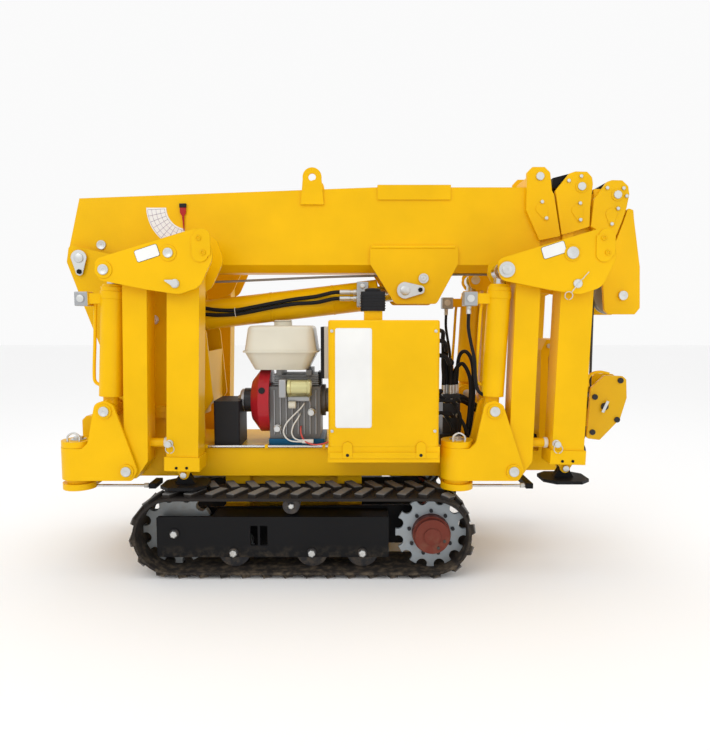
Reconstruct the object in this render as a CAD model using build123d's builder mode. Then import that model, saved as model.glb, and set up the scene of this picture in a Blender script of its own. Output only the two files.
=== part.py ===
from build123d import *
from math import atan2, cos, degrees, hypot, pi, radians, sin, tan
import os

# A folded mini crawler crane. Millimetres: X runs along the machine to the boom's tip, Y across it, Z up.
# Origin: on the ground, at the middle of the machine's length and width.

# Clearances
RUNNING = 0.05
SEAT = 0.3
PLAY = 5.0

# Crawler tracks
TRACK_Y = 260.0
TRACK_WIDTH = 200.0
WHEEL_Z = 150.0
IDLER_X = -634.0
BELT_THICK = 10.0
LUG_HEIGHT = 14.0
LUG_LENGTH = 30.0
LUG_WIDTH = 88.0
LUG_YAW = 25.0
LUG_ROOT = 6.0
LUG_COUNT = 36
TOOTH_COUNT = 12
TOOTH_WIDTH = 26.0
ROOT_DEPTH = 24.0
ROLLER_R = 57.0
TOP_ROLLER_R = 30.0
REAR_ROLLER_STEP = 207.0
FRONT_ROLLER_STEPS = (420.0, 242.0)
TOP_ROLLER_STEP = 409.0
FRAME_PLATE = 12.0
FRAME_HALF_WIDTH = 60.0
FRAME_LOW = 64.0
FRAME_HIGH = 209.0
FRAME_OVERHANG = 63.0
FRAME_LENGTH = 816.0
SPROCKET_GAP = 24.0
WINDOW_STEP = 359.0
WINDOW_HALF = 30.0
WINDOW_LOW = 106.0
WINDOW_HIGH = 177.0
WINDOW_BAR_HALF = 4.0
ROLLER_RIM = 30.0
AXLE_R = 12.0
HUB_R = 66.0
HUB_REACH = 98.0
HUB_STEP = 20.0
SPROCKET_OFFSET = 40.0
BOLT_CIRCLE_R = 78.0
BOLT_HEAD_R = 6.5
BOLT_HEAD_HEIGHT = 8.0

# Chassis
BEAM_Y = 195.0
BEAM_WIDE = 40.0
BEAM_LOW = 325.0
DECK_Z = 422.0
DECK_THICK = 8.0
CHASSIS_REAR_X = -960.0
CHASSIS_FRONT_X = 430.0
CROSS_X = (-440.0, -20.0)
CROSS_WIDE = 90.0
CROSS_LOW = 150.0
NOSE_X = 790.0
NOSE_Y = 110.0
TOWER_LENGTH = 90.0
TOWER_TOP = 824.0

# Swivel posts of the outriggers
POST_Y = 272.0
POST_R = 28.0
POST_CAP_R = 57.0
POST_CAP_THICK = 22.0
POST_LUG_THICK = 22.0
REAR_POST_X = -980.0
FRONT_POST_X = 362.0

# Outrigger, in its own frame: x from the swivel axis along the folded arm, y across it, z up
BAND_R = 58.0
BAND_LOW = 340.0
BAND_TOP = 453.0
CHEEK_THICK = 11.0
FOOT_PIN = (188.0, 374.0)
RAM_PIN = (118.0, 584.0)
ROD_PIN = (143.0, 1064.0)
ELBOW_PIN = (360.0, 1119.0)
PIN_R = 16.0
RAM_PIN_R = 14.0
ELBOW_PIN_R = 18.0
WASHER_R = 25.0
WASHER_THICK = 6.0
INNER_TUBE_X = 84.0
INNER_TUBE_HALF_Y = 42.0
INNER_TUBE_LEAN = 15.0
INNER_TUBE_TOP = 1085.0
INNER_TUBE_END = 345.0
ELBOW_PLATE_Y = 86.0
ELBOW_PLATE_THICK = 10.0
OUTER_TUBE_X = 111.0
OUTER_TUBE_HALF_Y = 45.0
OUTER_TUBE_TOP = 1100.0
OUTER_TUBE_LEFT = 342.0
OUTER_TUBE_LEAN = 20.0
OUTER_TUBE_WALL = 8.0
COLLAR_HEIGHT = 49.0
COLLAR_STEP = 6.0
BUMPER_Z = 465.0
BUMPER_R = 16.0
RAM_R = 40.0
RAM_START = 47.0
RAM_LENGTH = 381.0
ROD_R = 20.5
ROD_TAIL = 60.0
LEG_STROKE = 120.0
LEG_INSIDE = 400.0
FOOT_PIN_DROP = 18.0
FOOT_PIN_R = 8.0
FOOT_DROP = 46.0
FOOT_LONG = 160.0
FOOT_WIDE = 150.0
FOOT_THICK = 11.0
EAR_R = 17.0
EAR_INNER_Y = 14.0
EAR_OUTER_Y = 26.0

# Column and winch
SLEW_X = -740.0
COLUMN_FLOOR = 555.0
COLUMN_DISC_R = 165.0
COLUMN_DISC_THICK = 22.0
COLUMN_Y = 130.0
COLUMN_PLATE = 12.0
BOOM_PIVOT = (-1013.0, 1124.0)
BOOM_PIVOT_R = 25.0
WINCH = (-870.0, 975.0)
WINCH_AXLE_R = 12.0
WINCH_DRUM_R = 45.0
WINCH_FLANGE_R = 65.0
WINCH_HALF_Y = 100.0

# Boom and its ram
BOOM_HALF_Y = 97.0
BOOM_LOW = 1076.0
BOOM_SIDE_LOW = 1102.0
BOOM_TOP = 1386.0
BOOM_REAR_TOP = 1346.0
BOOM_BOTTOM_HALF_Y = 50.0
BOOM_MOUTH_X = 690.0
BOOM_WALL = 6.0
BORE_REAR_X = -940.0
SECTION_GAP = 7.0
SECTION_WALL = 6.0
SECTION_HEAD_Y = 112.0
LUFF_FOOT = (-745.0, 898.0)
LUFF_HEAD = (187.0, 1007.0)
LUFF_R = 57.0
LUFF_BARREL = 780.0
LUFF_ROD_R = 32.0
LUFF_PIN_R = 22.0
LUFF_EYE_R = 36.0
LUFF_LUG_Y = 108.0
HEAD_PIN = (997.0, 988.0)
HEAD_PIN_R = 14.0
SHEAVE_R = 68.0
SHEAVE_HALF_Y = 18.0
GROOVE_DEPTH = 8.0
TIP_X = 1064.0
BLOCK_PIN = (968.0, 563.0)
BLOCK_Y = 52.0
BLOCK_PLATE = 12.0
ROPE_R = 5.0
LIFT_EYE = (-158.0, 1421.0)
LIFT_EYE_R = 35.0
LIFT_BORE_R = 14.0
LIFT_Y = 107.0

# Engine, tanks and hydraulics on the deck
ENGINE_Y = -75.0
CRANK_Z = 592.0
FAN_R = 120.0
OIL_TANK = (-91.0, 287.0, -355.0, -205.0, 466.0, 897.0)
FUEL_TANK = (-412.0, -134.0, -205.0, 55.0, 714.0, 876.0)

# Sizes that follow from those above
LUG_TIP_R = WHEEL_Z
BELT_R = LUG_TIP_R - LUG_HEIGHT
BELT_INNER_R = BELT_R - BELT_THICK
TOOTH_R = BELT_INNER_R - 1
FRAME_OUTER_Y = TRACK_Y + FRAME_HALF_WIDTH
FRAME_INNER_Y = TRACK_Y - FRAME_HALF_WIDTH
FRAME_REAR_X = IDLER_X - FRAME_OVERHANG
FRAME_FRONT_X = FRAME_REAR_X + FRAME_LENGTH
SPROCKET_X = FRAME_FRONT_X + SPROCKET_GAP + TOOTH_R
TRACK_MIDDLE_X = (SPROCKET_X + IDLER_X) / 2
TRACK_SPAN = SPROCKET_X - IDLER_X
WINDOW_X = FRAME_REAR_X + WINDOW_STEP
TOP_ROLLER_X = IDLER_X + TOP_ROLLER_STEP
SPROCKET_Y = TRACK_Y + SPROCKET_OFFSET
HUB_FACE_Y = TRACK_Y + HUB_REACH
DECK_TOP = DECK_Z + DECK_THICK
CHEEK_INNER_Y = BAND_R - CHEEK_THICK
ELBOW_INNER_Y = ELBOW_PLATE_Y - ELBOW_PLATE_THICK
RAM_SPAN = hypot(ROD_PIN[0] - RAM_PIN[0], ROD_PIN[1] - RAM_PIN[1])
LUFF_SPAN = hypot(LUFF_HEAD[0] - LUFF_FOOT[0], LUFF_HEAD[1] - LUFF_FOOT[1])
POST_CAP_LOW = BAND_TOP + SEAT


def side_profile(points, y, radius=0):
    """A closed outline of (x, z) points, drawn at this y, with its corners rounded."""
    with BuildSketch(Plane.XZ.offset(-y)) as profile:
        with BuildLine():
            if radius:
                FilletPolyline(*points, radius=radius, close=True)
            else:
                Polyline(*points, close=True)
        make_face()
    return profile.sketch


def plate(points, y_low, y_high, radius=0, mode=Mode.ADD):
    """An upright plate of that outline, from y_low to y_high."""
    extrude(side_profile(points, y_high, radius), amount=y_high - y_low, mode=mode)


def twin_plates(points, y_inner, y_outer, radius=0, mode=Mode.ADD):
    """Two such plates, one on each side of y = 0."""
    plate(points, y_inner, y_outer, radius, mode)
    plate(points, -y_outer, -y_inner, radius, mode)


def cross_bar(centre, radius, y_low, y_high, mode=Mode.ADD):
    """A round bar or hole along Y at (x, z)."""
    with BuildSketch(Plane.XZ.offset(-y_high)) as ring:
        with Locations(centre):
            Circle(radius)
    extrude(ring.sketch, amount=y_high - y_low, mode=mode)


def twin_bars(centre, radius, y_inner, y_outer, mode=Mode.ADD):
    """Two such bars, one on each side of y = 0."""
    cross_bar(centre, radius, y_inner, y_outer, mode)
    cross_bar(centre, radius, -y_outer, -y_inner, mode)


def block(x_low, x_high, y_low, y_high, z_low, z_high, mode=Mode.ADD):
    """A straight block between those corners."""
    with BuildSketch(Plane.XY.offset(z_low)) as base:
        with Locations(((x_low + x_high) / 2, (y_low + y_high) / 2)):
            Rectangle(x_high - x_low, y_high - y_low)
    extrude(base.sketch, amount=z_high - z_low, mode=mode)


def post(x, y, radius, z_low, z_high, mode=Mode.ADD):
    """A round upright bar or hole."""
    with BuildSketch(Plane.XY.offset(z_low)) as ring:
        with Locations((x, y)):
            Circle(radius)
    extrude(ring.sketch, amount=z_high - z_low, mode=mode)


def along(start, end):
    """The plane at start, in the XZ plane, whose normal points at end."""
    return Plane(
        origin=(start[0], 0, start[1]),
        x_dir=(0, 1, 0),
        z_dir=(end[0] - start[0], 0, end[1] - start[1]),
    )


def round_run(plane, radius, near, far, mode=Mode.ADD):
    """A round bar or bore on that plane's normal, from near to far."""
    with BuildSketch(plane.offset(near)) as ring:
        Circle(radius)
    extrude(ring.sketch, amount=far - near, mode=mode)


def box_run(plane, across, deep, near, far, mode=Mode.ADD):
    """A square bar or bore on that plane's normal: across is along Y."""
    with BuildSketch(plane.offset(near)) as outline:
        Rectangle(across, deep)
    extrude(outline.sketch, amount=far - near, mode=mode)


def save(solid, label):
    """Names a finished piece and writes its file."""
    solid.label = label
    export_step(solid, f"parts/{label}.step")


os.makedirs("parts", exist_ok=True)

# Tracks: a rubber belt with two rows of slanted lugs, a toothed sprocket and idler, rollers and a frame


def lug_planes(side):
    """A plane on the belt for each lug: the rows lie side by side and slant opposite ways."""
    turn = pi * BELT_R
    loop = 2 * TRACK_SPAN + 2 * turn
    planes = []
    for index in range(LUG_COUNT):
        for row, shift in ((-1, 0.0), (1, 0.5)):
            travel = (index + shift) * loop / LUG_COUNT
            if travel < TRACK_SPAN:
                x, z, angle = IDLER_X + travel, WHEEL_Z + BELT_R, 90.0
            elif travel < TRACK_SPAN + turn:
                angle = 90 - degrees((travel - TRACK_SPAN) / BELT_R)
                x = SPROCKET_X + BELT_R * cos(radians(angle))
                z = WHEEL_Z + BELT_R * sin(radians(angle))
            elif travel < 2 * TRACK_SPAN + turn:
                x, z, angle = SPROCKET_X - (travel - TRACK_SPAN - turn), WHEEL_Z - BELT_R, -90.0
            else:
                angle = -90 - degrees((travel - 2 * TRACK_SPAN - turn) / BELT_R)
                x = IDLER_X + BELT_R * cos(radians(angle))
                z = WHEEL_Z + BELT_R * sin(radians(angle))
            outward = Vector(cos(radians(angle)), 0, sin(radians(angle)))
            forward = Vector(outward.Z, 0, -outward.X)
            yaw = radians(LUG_YAW) * row
            y = side * TRACK_Y + row * (TRACK_WIDTH / 4 - 1)
            planes.append(
                Plane(
                    origin=Vector(x, y, z) - outward * LUG_ROOT,
                    x_dir=forward * cos(yaw) + Vector(0, sin(yaw), 0),
                    z_dir=outward,
                )
            )
    return planes


def toothed_disc(x, y_low, y_high):
    """A disc with square-ended teeth and round gullets between them."""
    gullet_r = TOOTH_R * sin(pi / TOOTH_COUNT) - TOOTH_WIDTH / 2
    gullet_at = TOOTH_R + gullet_r - ROOT_DEPTH / 2
    with BuildSketch(Plane.XZ.offset(-y_high)) as disc:
        with Locations((x, WHEEL_Z)):
            Circle(TOOTH_R)
            with PolarLocations(gullet_at, TOOTH_COUNT, start_angle=180 / TOOTH_COUNT):
                SlotCenterToCenter(ROOT_DEPTH, 2 * gullet_r, mode=Mode.SUBTRACT)
    extrude(disc.sketch, amount=y_high - y_low)


for side_name, side in (("near", -1), ("far", 1)):
    # y values given from the machine's middle outwards are turned to this side
    def span(inner, outer):
        return (inner, outer) if side > 0 else (-outer, -inner)

    with BuildPart() as belt:
        with BuildSketch(Plane.XZ.offset(-side * TRACK_Y + TRACK_WIDTH / 2 - TRACK_WIDTH)) as loop:
            with Locations((TRACK_MIDDLE_X, WHEEL_Z)):
                SlotCenterToCenter(TRACK_SPAN, 2 * BELT_R)
                SlotCenterToCenter(TRACK_SPAN, 2 * BELT_INNER_R, mode=Mode.SUBTRACT)
        extrude(amount=TRACK_WIDTH)
        with BuildSketch(*lug_planes(side)):
            Rectangle(LUG_LENGTH, LUG_WIDTH)
        extrude(amount=LUG_ROOT + LUG_HEIGHT)
        edge_low, edge_high = span(TRACK_Y - TRACK_WIDTH / 2, TRACK_Y + TRACK_WIDTH / 2)
        block(-TIP_X, TIP_X, edge_low - LUG_WIDTH, edge_high + LUG_WIDTH, -LUG_WIDTH, 0, Mode.SUBTRACT)
        block(-TIP_X, TIP_X, edge_high, edge_high + LUG_WIDTH, 0, 2 * LUG_TIP_R + PLAY, Mode.SUBTRACT)
        block(-TIP_X, TIP_X, edge_low - LUG_WIDTH, edge_low, 0, 2 * LUG_TIP_R + PLAY, Mode.SUBTRACT)
    save(belt.part, f"track_belt_{side_name}")

    with BuildPart() as frame:
        outer = [
            (FRAME_REAR_X, FRAME_LOW),
            (FRAME_FRONT_X, FRAME_LOW),
            (FRAME_FRONT_X, FRAME_HIGH),
            (FRAME_REAR_X, FRAME_HIGH),
        ]
        inner = [
            (FRAME_REAR_X, FRAME_LOW),
            (SPROCKET_X, WHEEL_Z - HUB_R - PLAY),
            (SPROCKET_X + HUB_R, WHEEL_Z),
            (SPROCKET_X, WHEEL_Z + HUB_R + PLAY),
            (FRAME_REAR_X, FRAME_HIGH),
        ]
        plate(outer, *span(FRAME_OUTER_Y - FRAME_PLATE, FRAME_OUTER_Y), radius=6)
        plate(inner, *span(FRAME_INNER_Y, FRAME_INNER_Y + FRAME_PLATE))
        top_rear_x = IDLER_X + TOOTH_R + PLAY
        block(
            top_rear_x,
            FRAME_FRONT_X,
            *span(FRAME_INNER_Y + FRAME_PLATE, FRAME_OUTER_Y - FRAME_PLATE),
            FRAME_HIGH - FRAME_PLATE,
            FRAME_HIGH,
        )
        for turn in (-1, 1):
            low, high = sorted((WINDOW_X + turn * WINDOW_BAR_HALF, WINDOW_X + turn * WINDOW_HALF))
            window = [(low, WINDOW_LOW), (high, WINDOW_LOW), (high, WINDOW_HIGH), (low, WINDOW_HIGH)]
            plate(window, *span(FRAME_OUTER_Y - FRAME_PLATE, FRAME_OUTER_Y), radius=3, mode=Mode.SUBTRACT)
        roller_z = WHEEL_Z - BELT_INNER_R + ROLLER_R + SEAT
        axles = [(IDLER_X + REAR_ROLLER_STEP, roller_z)]
        axles += [(SPROCKET_X - step, roller_z) for step in FRONT_ROLLER_STEPS]
        axles += [(IDLER_X, WHEEL_Z)]
        for axle in axles:
            cross_bar(axle, AXLE_R + RUNNING, *span(FRAME_INNER_Y, FRAME_OUTER_Y), mode=Mode.SUBTRACT)
        top_roller = (TOP_ROLLER_X, WHEEL_Z + BELT_INNER_R - TOP_ROLLER_R - SEAT)
        stand_half = 16.0
        stand_low, stand_high = span(FRAME_INNER_Y + FRAME_PLATE, FRAME_INNER_Y + 2 * FRAME_PLATE)
        block(
            TOP_ROLLER_X - stand_half,
            TOP_ROLLER_X + stand_half,
            stand_low,
            stand_high,
            FRAME_HIGH - PLAY,
            top_roller[1] + stand_half,
        )
        cross_bar(top_roller, AXLE_R - 2, *span(FRAME_INNER_Y + 2 * FRAME_PLATE, FRAME_OUTER_Y - 2 * FRAME_PLATE))
    save(frame.part, f"track_frame_{side_name}")

    with BuildPart() as wheels:
        roller_low = FRAME_INNER_Y + FRAME_PLATE + PLAY
        roller_high = FRAME_OUTER_Y - FRAME_PLATE - PLAY
        for axle in axles[:-1]:
            cross_bar(axle, ROLLER_R, *span(roller_low, roller_low + ROLLER_RIM))
            cross_bar(axle, ROLLER_R, *span(roller_high - ROLLER_RIM, roller_high))
            cross_bar(axle, ROLLER_R - 12, *span(roller_low + ROLLER_RIM, roller_high - ROLLER_RIM))
        toothed_disc(IDLER_X, *span(TRACK_Y - 15, TRACK_Y + 15))
        for axle in axles:
            cross_bar(axle, AXLE_R, *span(FRAME_INNER_Y, FRAME_OUTER_Y + 8))
            cross_bar(axle, AXLE_R + 4, *span(FRAME_OUTER_Y, FRAME_OUTER_Y + 8))
            cross_bar(axle, AXLE_R + 6, *span(FRAME_INNER_Y + FRAME_PLATE, roller_low))
            cross_bar(axle, AXLE_R + 6, *span(roller_high, FRAME_OUTER_Y - FRAME_PLATE))
        cross_bar((IDLER_X, WHEEL_Z), AXLE_R + 14, *span(roller_low, roller_high))
        cross_bar(top_roller, TOP_ROLLER_R, *span(FRAME_INNER_Y + 2 * FRAME_PLATE + 1, FRAME_OUTER_Y - FRAME_PLATE))
        cross_bar(
            top_roller,
            AXLE_R - 2 + RUNNING,
            *span(FRAME_INNER_Y + 2 * FRAME_PLATE, FRAME_OUTER_Y - 2 * FRAME_PLATE),
            mode=Mode.SUBTRACT,
        )
    save(wheels.part, f"track_wheels_{side_name}")

    with BuildPart() as sprocket:
        toothed_disc(SPROCKET_X, *span(SPROCKET_Y - FRAME_PLATE / 2, SPROCKET_Y + FRAME_PLATE / 2))
        centre = (SPROCKET_X, WHEEL_Z)
        cross_bar(centre, HUB_R, *span(FRAME_INNER_Y + FRAME_PLATE, HUB_FACE_Y - HUB_STEP))
        cross_bar(centre, HUB_R - 6, *span(HUB_FACE_Y - HUB_STEP, HUB_FACE_Y))
        face_y = SPROCKET_Y + FRAME_PLATE / 2
        with BuildSketch(Plane.XZ.offset(-span(face_y, face_y + BOLT_HEAD_HEIGHT)[1])) as heads:
            with Locations(centre):
                with PolarLocations(BOLT_CIRCLE_R, 9, start_angle=10):
                    Circle(BOLT_HEAD_R)
        extrude(heads.sketch, amount=BOLT_HEAD_HEIGHT)
    save(sprocket.part, f"sprocket_{side_name}")

# Chassis: two side beams under a deck, cross beams to the tracks, a nose with its tower, the slewing
# base and a lug with a swivel post at each corner, all welded together

with BuildPart() as chassis:
    for side in (-1, 1):
        y_edges = sorted((side * (BEAM_Y - BEAM_WIDE), side * BEAM_Y))
        block(CHASSIS_REAR_X, CHASSIS_FRONT_X, *y_edges, BEAM_LOW, DECK_Z)
    block(CHASSIS_REAR_X, CHASSIS_FRONT_X, -BEAM_Y, BEAM_Y, DECK_Z, DECK_TOP)
    for low, high in ((CHASSIS_REAR_X, CHASSIS_REAR_X + BEAM_WIDE), (CHASSIS_FRONT_X - BEAM_WIDE, CHASSIS_FRONT_X)):
        block(low, high, BEAM_WIDE - BEAM_Y, BEAM_Y - BEAM_WIDE, BEAM_LOW, DECK_Z)
    for x in CROSS_X:
        low, high = x - CROSS_WIDE / 2, x + CROSS_WIDE / 2
        block(low, high, -FRAME_INNER_Y, FRAME_INNER_Y, CROSS_LOW, FRAME_HIGH)
        block(low, high, -BEAM_Y + BEAM_WIDE, BEAM_Y - BEAM_WIDE, FRAME_HIGH, DECK_Z)
    block(CROSS_X[0], CROSS_X[1], -CROSS_WIDE, CROSS_WIDE, CROSS_LOW + PLAY, DECK_Z)
    for post_x in (REAR_POST_X, FRONT_POST_X):
        half = POST_CAP_R - 12
        block(post_x - half, post_x + half, -POST_Y, POST_Y, BEAM_LOW - POST_LUG_THICK, BEAM_LOW)
        for side in (-1, 1):
            post(post_x, side * POST_Y, POST_CAP_R, BEAM_LOW - POST_LUG_THICK, BEAM_LOW)
            post(post_x, side * POST_Y, POST_R, BEAM_LOW, POST_CAP_LOW)
            post(post_x, side * POST_Y, POST_CAP_R, POST_CAP_LOW, POST_CAP_LOW + POST_CAP_THICK)
    # nose, a box beam that carries the front tower
    block(CHASSIS_FRONT_X, NOSE_X, -NOSE_Y, NOSE_Y, BEAM_LOW, BEAM_LOW + 75)
    tower = [
        (NOSE_X - TOWER_LENGTH, BEAM_LOW),
        (NOSE_X, BEAM_LOW),
        (NOSE_X, TOWER_TOP),
        (NOSE_X - TOWER_LENGTH + 20, TOWER_TOP),
        (NOSE_X - TOWER_LENGTH, TOWER_TOP - 40),
    ]
    plate(tower, -NOSE_Y, NOSE_Y)
    slot = [(NOSE_X - 62, 510), (NOSE_X - 22, 510), (NOSE_X - 22, 770), (NOSE_X - 62, 770)]
    plate(slot, -NOSE_Y, NOSE_Y, radius=12, mode=Mode.SUBTRACT)
    # rear housing
    rear_box = [
        (REAR_POST_X - 25, DECK_Z),
        (REAR_POST_X + 55, DECK_Z),
        (REAR_POST_X + 55, 545),
        (REAR_POST_X - 10, 545),
        (REAR_POST_X - 25, 530),
    ]
    block(REAR_POST_X - 25, CHASSIS_REAR_X, -BEAM_Y + 15, BEAM_Y - 15, BEAM_LOW, DECK_Z)
    twin_plates(rear_box, 60, BEAM_Y - 15)
    # slewing base
    post(SLEW_X, 0, COLUMN_DISC_R - 25, DECK_TOP, COLUMN_FLOOR)
    post(SLEW_X, 0, COLUMN_DISC_R, COLUMN_FLOOR - 20, COLUMN_FLOOR)
    # tray under the oil tank
    tank_x0, tank_x1, tank_y0, tank_y1, tank_z0, tank_z1 = OIL_TANK
    block(tank_x0 - 2, tank_x1 + 3, tank_y0, -BEAM_Y, DECK_Z - 11, tank_z0)
save(chassis.part, "chassis_frame")

# Column: a base disc, two cheeks, cross plates and the three pins that it carries

with BuildPart() as column:
    post(SLEW_X, 0, COLUMN_DISC_R, COLUMN_FLOOR, COLUMN_FLOOR + COLUMN_DISC_THICK)
    cheek = [
        (-1052.0, 1172.0),
        (-873.0, 1133.0),
        (-620.0, 1078.0),
        (-600.0, 960.0),
        (-554.0, 850.0),
        (-532.0, 600.0),
        (-560.0, COLUMN_FLOOR + 2),
        (-905.0, COLUMN_FLOOR + 2),
        (-950.0, 800.0),
        (-1009.0, 961.0),
        (-1062.0, 1110.0),
    ]
    twin_plates(cheek, COLUMN_Y - COLUMN_PLATE, COLUMN_Y, radius=14)
    inner_y = COLUMN_Y - COLUMN_PLATE
    block(-899, -887, -inner_y, inner_y, COLUMN_FLOOR, 850)
    block(-560, -548, -inner_y, inner_y, COLUMN_FLOOR + COLUMN_DISC_THICK, 780)
    cross_bar(BOOM_PIVOT, BOOM_PIVOT_R, -COLUMN_Y - 8, COLUMN_Y + 8)
    cross_bar(LUFF_FOOT, LUFF_PIN_R, -COLUMN_Y, COLUMN_Y)
    twin_bars(LUFF_FOOT, LUFF_PIN_R + 6, 50 + SEAT, inner_y)
    cross_bar(WINCH, WINCH_AXLE_R, -COLUMN_Y, COLUMN_Y)
    twin_bars(WINCH, WINCH_AXLE_R + 12, WINCH_HALF_Y + SEAT, inner_y)
save(column.part, "column")

with BuildPart() as winch:
    cross_bar(WINCH, WINCH_DRUM_R, -WINCH_HALF_Y, WINCH_HALF_Y)
    twin_bars(WINCH, WINCH_FLANGE_R, WINCH_HALF_Y - 12, WINCH_HALF_Y)
    cross_bar(WINCH, WINCH_AXLE_R + RUNNING, -WINCH_HALF_Y, WINCH_HALF_Y, mode=Mode.SUBTRACT)
save(winch.part, "winch_drum")

# Boom: a base box with a sloping roof and three sliding sections, each with its head plates

SECTIONS = 3


def section_half_y(index):
    """Half the width outside of sliding section 1, 2 or 3."""
    return BOOM_HALF_Y - BOOM_WALL - SECTION_GAP - (index - 1) * (SECTION_WALL + SECTION_GAP)


def section_low(index):
    return BOOM_SIDE_LOW + BOOM_WALL + SECTION_GAP + (index - 1) * (SECTION_WALL + SECTION_GAP)


def section_high(index):
    return BOOM_REAR_TOP - 2 - SECTION_GAP - (index - 1) * (SECTION_WALL + SECTION_GAP)


def section_box(index, x_low, x_high, grow, mode=Mode.ADD):
    """A box along the boom, larger than that section by grow on each side."""
    half = section_half_y(index) + grow
    block(x_low, x_high, -half, half, section_low(index) - grow, section_high(index) + grow, mode)


LUFF_LUG = [
    (56.0, 1171.0),
    (384.0, 1171.0),
    (384.0, 1105.0),
    (305.0, 957.0),
    (150.0, 957.0),
    (56.0, 1105.0),
]
COLLAR_1 = [
    (631.0, 1300.0),
    (631.0, 1436.0),
    (650.0, 1456.0),
    (695.0, 1456.0),
    (716.0, 1436.0),
    (724.0, 1371.0),
    (732.0, 1358.0),
    (760.0, 1206.0),
    (683.0, 1191.0),
]
COLLAR_2 = [
    (737.0, 1371.0),
    (787.0, 1433.0),
    (808.0, 1440.0),
    (851.0, 1439.0),
    (870.0, 1419.0),
    (874.0, 1395.0),
    (867.0, 1316.0),
    (866.0, 1241.0),
    (765.0, 1210.0),
]
COLLAR_3 = [
    (880.0, 1340.0),
    (894.0, 1358.0),
    (926.0, 1403.0),
    (943.0, 1409.0),
    (981.0, 1408.0),
    (1004.0, 1387.0),
    (1009.0, 1358.0),
    (1001.0, 1310.0),
    (985.0, 1258.0),
    (961.0, 1197.0),
    (872.0, 1241.0),
]
TIP_HEAD = [
    (1007.0, 1308.0),
    (1026.0, 1301.0),
    (1030.0, 1266.0),
    (1058.0, 1094.0),
    (TIP_X, 942.0),
    (1046.0, 918.0),
    (947.0, 918.0),
    (932.0, 933.0),
    (924.0, 1022.0),
    (926.0, 1180.0),
    (967.0, 1190.0),
    (991.0, 1256.0),
]

with BuildPart() as boom:
    body = [
        (-1021.0, BOOM_REAR_TOP),
        (76.0, BOOM_TOP),
        (BOOM_MOUTH_X, BOOM_TOP),
        (BOOM_MOUTH_X, BOOM_LOW),
        (-1010.0, BOOM_LOW),
        (-1055.0, 1100.0),
        (-TIP_X, 1170.0),
    ]
    plate(body, -BOOM_HALF_Y, BOOM_HALF_Y)
    with BuildSketch(Plane.YZ.offset(-TIP_X)) as edges:
        for side in (-1, 1):
            with BuildLine():
                Polyline(
                    (side * (BOOM_HALF_Y + 1), BOOM_SIDE_LOW),
                    (side * (BOOM_HALF_Y + 1), BOOM_LOW - 1),
                    (side * BOOM_BOTTOM_HALF_Y, BOOM_LOW - 1),
                    (side * BOOM_BOTTOM_HALF_Y, BOOM_LOW),
                    (side * BOOM_HALF_Y, BOOM_SIDE_LOW),
                    close=True,
                )
            make_face()
    extrude(edges.sketch, amount=2 * TIP_X, mode=Mode.SUBTRACT)
    twin_plates(LUFF_LUG, BOOM_HALF_Y, LUFF_LUG_Y, radius=16)
    twin_plates(COLLAR_1, BOOM_HALF_Y, SECTION_HEAD_Y, radius=5)
    block(640, BOOM_MOUTH_X, -SECTION_HEAD_Y, SECTION_HEAD_Y, BOOM_TOP, BOOM_TOP + 40)
    block(83, 354, -BOOM_HALF_Y - 6, BOOM_HALF_Y + 6, 1340, BOOM_TOP + 8)
    lug = [(-201.0, 1322.0), (-115.0, 1322.0), (-124.0, 1421.0), (-192.0, 1421.0)]
    twin_plates(lug, BOOM_HALF_Y, LIFT_Y)
    twin_bars(LIFT_EYE, LIFT_EYE_R, BOOM_HALF_Y, LIFT_Y)
    twin_bars(LIFT_EYE, LIFT_BORE_R, BOOM_HALF_Y, LIFT_Y, mode=Mode.SUBTRACT)
    twin_bars(BOOM_PIVOT, BOOM_PIVOT_R + 14, BOOM_HALF_Y, COLUMN_Y - COLUMN_PLATE - SEAT)
    section_box(1, BORE_REAR_X, BOOM_MOUTH_X - 50, SECTION_GAP, mode=Mode.SUBTRACT)
    section_box(1, BOOM_MOUTH_X - 50, BOOM_MOUTH_X, SEAT, mode=Mode.SUBTRACT)
    cross_bar(BOOM_PIVOT, BOOM_PIVOT_R + RUNNING, -COLUMN_Y, COLUMN_Y, mode=Mode.SUBTRACT)
    twin_bars((255.0, 1051.0), 9, LUFF_LUG_Y, LUFF_LUG_Y + 6)
    twin_bars(LUFF_HEAD, LUFF_PIN_R + 4, LUFF_LUG_Y, LUFF_LUG_Y + 8)
save(boom.part, "boom_base")

# Sliding sections. Columns: name, rear end, ring from and to, ring low and high, head plates
SLIDERS = [
    ("section_second", -900.0, 772.0, 812.0, 1108.0, 1390.0, COLLAR_2),
    ("section_third", -860.0, 884.0, 924.0, 1134.0, 1380.0, COLLAR_3),
    ("section_tip", -820.0, 972.0, 1020.0, 1146.0, 1304.0, TIP_HEAD),
]

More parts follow.
